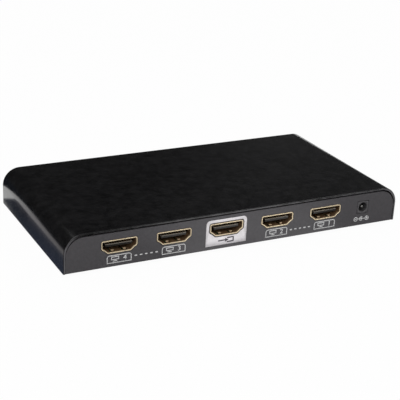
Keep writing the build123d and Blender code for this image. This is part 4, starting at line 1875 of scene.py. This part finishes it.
@dataclass
class PolaritySign(InkedMarks):
    """The sign of a power socket whose pin is positive."""

    shift: float = -0.2
    level: float = 5.0
    radius: float = 1.0
    pole_reach: float = 2.8
    pole_half: float = 0.45
    pin_radius: float = 0.42
    bar_reach: float = 1.8
    cup_turn: Flat = (50, 310)
    cup_steps: int = 20

    def build(self) -> None:
        """Prints the two poles, the cup with its pin and the bars between them."""
        low, high = box_mm("power_jack_housing")
        x, level, half = (low.x + high.x) / 2 + self.shift, self.level, self.line / 2
        under, over = level - half, level + half
        radii = (self.radius, self.radius - self.line)
        loops: list[Loop] = []
        for side in (-1, 1):
            centre = (x + side * self.pole_reach, level)
            loops += [self.circle(centre, radius) for radius in radii]
            loops.append(self.rectangle(centre[0] - self.pole_half, centre[0] + self.pole_half, under, over))
        loops.append(self.broken_ring((x, level), radii, self.cup_turn, self.cup_steps))
        loops.append(self.circle((x, level), self.pin_radius))
        loops.append(self.rectangle(x - self.bar_reach, x - self.radius, under, over))
        loops.append(self.rectangle(x + self.pin_radius, x + self.bar_reach, under, over))
        self.flat_piece("polarity_sign", loops, Facing.FRONT, Finishes.INK_WHITE)
        pole = x + self.pole_reach
        upper = self.rectangle(pole - half, pole + half, over, level + self.pole_half)
        lower = self.rectangle(pole - half, pole + half, level - self.pole_half, under)
        self.flat_piece("polarity_plus", [upper, lower], Facing.FRONT, Finishes.INK_WHITE)


@dataclass
class LightSigns(InkedMarks):
    """The digit under each outlet's light, and a ring with a bar under the power light."""

    level: float = 6.6
    digit_height: float = 1.7
    ring_radii: Flat = (0.95, 0.65)
    ring_turn: Flat = (125, 415)
    ring_steps: int = 26
    bar_half: float = 0.15
    bar_low: float = 0.2
    bar_high: float = 1.2

    def build(self) -> None:
        """Prints the signs on the rear panel."""
        for glyph in Glyph:
            low, high = box_mm(f"light_{glyph.value}")
            middle = ((low.x + high.x) / 2, self.level)
            self.digit(f"light_{glyph.value}_digit", glyph, self.digit_height, middle, Facing.REAR)
        low, high = box_mm("power_light")
        x, level = (low.x + high.x) / 2, self.level
        ring = self.broken_ring((x, level), self.ring_radii, self.ring_turn, self.ring_steps)
        low_end, high_end = level + self.bar_low, level + self.bar_high
        bar = self.rectangle(x - self.bar_half, x + self.bar_half, low_end, high_end)
        self.flat_piece("power_light_sign", [ring, bar], Facing.REAR, Finishes.INK_WHITE)


# The studio


@dataclass(frozen=True)
class Lamp:
    """A soft square lamp that faces the origin, in metres and watts."""

    name: str
    place: Triple
    power: float
    size: float


@dataclass(frozen=True)
class Card:
    """A card that lies on the floor and shows only in reflections.

    Its corners are in millimetres. Its level changes along y between the two places of its ramp, in metres.
    """

    name: str
    corners: tuple[Flat, ...]
    colour: Colour
    ramp: Flat
    levels: Flat


LAMPS = (
    Lamp("front_lamp", (-0.35, -0.95, 0.75), 4.5, 0.7),
    Lamp("right_lamp", (0.6, -0.5, 0.75), 1.85, 0.35),
    Lamp("rear_lamp", (-0.45, 0.5, 1.1), 2.0, 0.6),
)
CARD_BLUE = (0.53, 0.65, 1.0)
CARD_WARM = (1.0, 0.96, 0.98)
# The lines that the cards' edges follow beside and before the case, in millimetres.
SIDE_LINE = -75.6
FRONT_LINE = -37.6
STRIP_LINE = -118.0
FAR_LINE = 1300.0
# Where the painted shadow of the case on the floor ends, as seen in reflections, in millimetres.
SHADOW_EDGE = ((-82.5, 44.5), (-88.5, FRONT_LINE))
CARDS = (
    # The first card is a painted shadow: the case's own shadow on the floor beside its left wall, seen in
    # that wall's reflection. The strip card beyond it is the lit floor.
    Card(
        "shadow_card", ((SIDE_LINE, FRONT_LINE), (SIDE_LINE, 47.5), *SHADOW_EDGE),
        CARD_BLUE, (-0.03, 0.03), (0.23, 0.06),
    ),
    Card(
        "strip_card", (*SHADOW_EDGE[::-1], (-96.0, 60.0), (STRIP_LINE, 60.0), (STRIP_LINE, FRONT_LINE)),
        CARD_WARM, (-0.02, 0.06), (0.68, 1.0),
    ),
    Card(
        "back_card",
        ((STRIP_LINE, FRONT_LINE), (STRIP_LINE, 92.0), (-96.0, 78.0), (-84.0, 66.0), (SIDE_LINE, 62.5),
         (SIDE_LINE, FAR_LINE), (-FAR_LINE, FAR_LINE), (-FAR_LINE, FRONT_LINE)),
        CARD_BLUE, (0.05, 0.5), (0.03, 0.03),
    ),
    Card(
        "left_card", ((-480.0, -160.0), (-24.0, -160.0), (-24.0, -37.7), (-480.0, -37.7)),
        WHITE, (-0.5, 0.5), (0.05, 0.05),
    ),
    Card(
        "right_card", ((50.0, -160.0), (480.0, -160.0), (480.0, -37.7), (50.0, -37.7)),
        WHITE, (-0.5, 0.5), (0.05, 0.05),
    ),
)


@dataclass
class Studio:
    """A pale floor, white surroundings, soft lamps, cards for the reflections, and the camera."""

    target: Triple = (0.314, 0.0, 7.217)
    azimuth: float = -27.687
    elevation: float = 22.186
    roll: float = 2.919
    distance: float = 467.191
    lens: float = 98.269
    sensor: float = 36.0
    clip: Flat = (0.01, 20.0)
    world_level: float = 0.45
    floor_reach: float = 4000.0
    floor_levels: Flat = (-20.0, -0.02)
    floor_colour: Colour = (0.86, 0.86, 0.87)
    floor_roughness: float = 0.9
    floor_gloss: float = 0.1
    floor_white_share: float = 0.97
    cloth_radius: float = 1300.0
    cloth_thickness: float = 20.0
    cloth_levels: Flat = (1.0, 2500.0)
    cloth_sides: int = 64
    cloth_ramp: Flat = (0.53, 0.69)
    cloth_glow: Flat = (0.020, 0.056)
    card_levels: Flat = (-0.015, -0.005)

    def camera(self) -> None:
        """Sets the camera at the photograph's place."""
        turn, rise, roll = (math.radians(a) for a in (self.azimuth, self.elevation, self.roll))
        back = Vector((math.sin(turn) * math.cos(rise), -math.cos(turn) * math.cos(rise), math.sin(rise)))
        right = (-back).cross(Vector((0, 0, 1))).normalized()
        up = right.cross(-back)
        rolled = math.cos(roll) * right + math.sin(roll) * up
        rolled_up = -math.sin(roll) * right + math.cos(roll) * up
        data = bpy.data.cameras.new("photo_camera")
        data.sensor_width, data.lens = self.sensor, self.lens
        data.clip_start, data.clip_end = self.clip
        camera = put_in_scene("photo_camera", data)
        frame_turn = Matrix((rolled, rolled_up, back)).transposed().to_4x4()
        place = Vector(self.target) * MM + back * self.distance * MM
        camera.matrix_world = Matrix.Translation(place) @ frame_turn
        bpy.context.scene.camera = camera

    def lamps(self) -> None:
        """Hangs the lamps."""
        for lamp in LAMPS:
            data = bpy.data.lights.new(lamp.name, "AREA")
            data.energy, data.size, data.shape = lamp.power, lamp.size, "SQUARE"
            hung = put_in_scene(lamp.name, data)
            hung.location = lamp.place
            hung.rotation_mode = "QUATERNION"
            hung.rotation_quaternion = (-Vector(lamp.place)).to_track_quat("-Z", "Y")

    def looking(self, sheet: NodeSheet) -> bpy.types.NodeSocket:
        """Gives one to rays from the camera, off gloss and through glass, and nothing to other light.

        Args:
            sheet: The sheet of the nodes.

        Returns:
            The output, 0 or 1.
        """
        path = sheet.add("ShaderNodeLightPath").outputs
        seen = sheet.math("MAXIMUM", path["Is Camera Ray"], path["Is Glossy Ray"])
        return sheet.math("MAXIMUM", seen, path["Is Transmission Ray"])

    def world(self) -> None:
        """Makes the surroundings white to look at and softer as light."""
        world = bpy.data.worlds.new("studio")
        world.use_nodes = True
        sheet = NodeSheet(world.node_tree)
        level = sheet.spread(self.looking(sheet), (0.0, 1.0), (self.world_level, 1.0))
        background = world.node_tree.nodes["Background"]
        background.inputs["Color"].default_value = shade(WHITE)
        world.node_tree.links.new(level, background.inputs["Strength"])
        bpy.context.scene.world = world

    def floor(self) -> None:
        """Lays the pale floor, which stays white to look at apart from the object's shadow."""
        shape = Shape()
        reach, (low, high) = self.floor_reach, self.floor_levels
        shape.block((-reach, -reach, low), (reach, reach, high))
        floor = shape.to_object("studio_floor")
        material, sheet = open_material("pale_floor")
        matt = material.node_tree.nodes["Principled BSDF"]
        matt.inputs["Base Color"].default_value = shade(self.floor_colour)
        matt.inputs["Roughness"].default_value = self.floor_roughness
        matt.inputs["Specular IOR Level"].default_value = self.floor_gloss
        glow = sheet.add("ShaderNodeEmission", {"Color": shade(WHITE), "Strength": 1.0})
        share = sheet.math("MULTIPLY", self.looking(sheet), self.floor_white_share)
        mixed = sheet.add("ShaderNodeMixShader", {0: share, 1: matt.outputs[0], 2: glow.outputs[0]})
        output = material.node_tree.nodes["Material Output"]
        material.node_tree.links.new(mixed.outputs[0], output.inputs["Surface"])
        floor.data.materials.append(material)

    def glow(self, name: str, colour: Colour, axis: str, ramp: Flat, levels: Flat) -> bpy.types.Material:
        """Makes a plain glowing material for a card.

        Args:
            name: The material's name.
            colour: Its colour.
            axis: The axis along which its level changes.
            ramp: The two places on that axis, in metres, between which it changes.
            levels: The levels at those places.

        Returns:
            The material.
        """
        material, sheet = open_material(name)
        place = sheet.add("ShaderNodeTexCoord").outputs["Object"]
        along = sheet.add("ShaderNodeSeparateXYZ", {0: place}).outputs[axis]
        level = sheet.spread(along, ramp, levels)
        emission = sheet.add("ShaderNodeEmission", {"Color": shade(colour), "Strength": level})
        output = material.node_tree.nodes["Material Output"]
        material.node_tree.links.new(emission.outputs[0], output.inputs["Surface"])
        return material

    def hang_card(self, shape: Shape, name: str, material: bpy.types.Material) -> None:
        """Puts up a card that shows only in reflections.

        Args:
            shape: The card's shape.
            name: Its name.
            material: What it is covered with.
        """
        card = shape.to_object(name)
        card.data.materials.append(material)
        card.visible_camera = card.visible_diffuse = card.visible_shadow = False
        card.visible_transmission = False

    def cloth(self) -> None:
        """Hangs dark cloth in a ring round the set."""
        near, far = self.cloth_radius, self.cloth_radius + self.cloth_thickness
        low, high = self.cloth_levels
        turns = [2 * math.pi * step / self.cloth_sides for step in range(self.cloth_sides)]
        shape = Shape()
        shape.loft([
            [Vector((radius * math.cos(turn), radius * math.sin(turn), z)) for turn in turns]
            for radius, z in ((near, low), (near, high), (far, high), (far, low))
        ], around=True)
        material = self.glow("dark_cloth", WHITE, "X", self.cloth_ramp, self.cloth_glow)
        self.hang_card(shape, "dark_cloth", material)

    def cards(self) -> None:
        """Lays the cards on the floor round the case."""
        for card in CARDS:
            shape = Shape()
            shape.loft([[Vector((x, y, z)) for x, y in card.corners] for z in self.card_levels])
            self.hang_card(shape, card.name, self.glow(card.name, card.colour, "Y", card.ramp, card.levels))

    def build(self) -> None:
        """Sets up the whole studio."""
        self.camera()
        self.world()
        self.floor()
        self.cloth()
        self.cards()
        self.lamps()
        bpy.context.scene.view_settings.view_transform = "Standard"


def dress_nodes() -> None:
    """Gives every CAD node the finish of what it stands for."""
    for name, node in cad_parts.items():
        endings = [finish for ending, finish in SUFFIX_FINISHES.items() if name.endswith(ending)]
        if name in NODE_FINISHES:
            finish = NODE_FINISHES[name]
        elif endings:
            finish = endings[0]
        elif name.startswith("foot"):
            finish = Finishes.RUBBER
        elif "light" in name:
            finish = Finishes.LENS
        else:
            finish = Finishes.COVER
        node.data.materials.clear()
        node.data.materials.append(finish.value.build())
        log.info("dressed %s in %s", name, finish.value.name)


def main() -> None:
    """Builds the dressed splitter in its studio."""
    logging.basicConfig(level=logging.INFO, format="%(message)s")
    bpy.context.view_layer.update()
    outline = KeyedOutline()
    dress_nodes()
    Cover().build()
    Feet().build()
    CoverScrews().build()
    shell = SocketShell(outline)
    for port in PORTS:
        shell.build(port)
    PowerSocket().build()
    StatusLights().build()
    OutletLabels().build()
    OutletDashes().build()
    InputPatch().build(outline)
    PolaritySign().build()
    LightSigns().build()
    Studio().build()


if __name__ == "__main__":
    main()
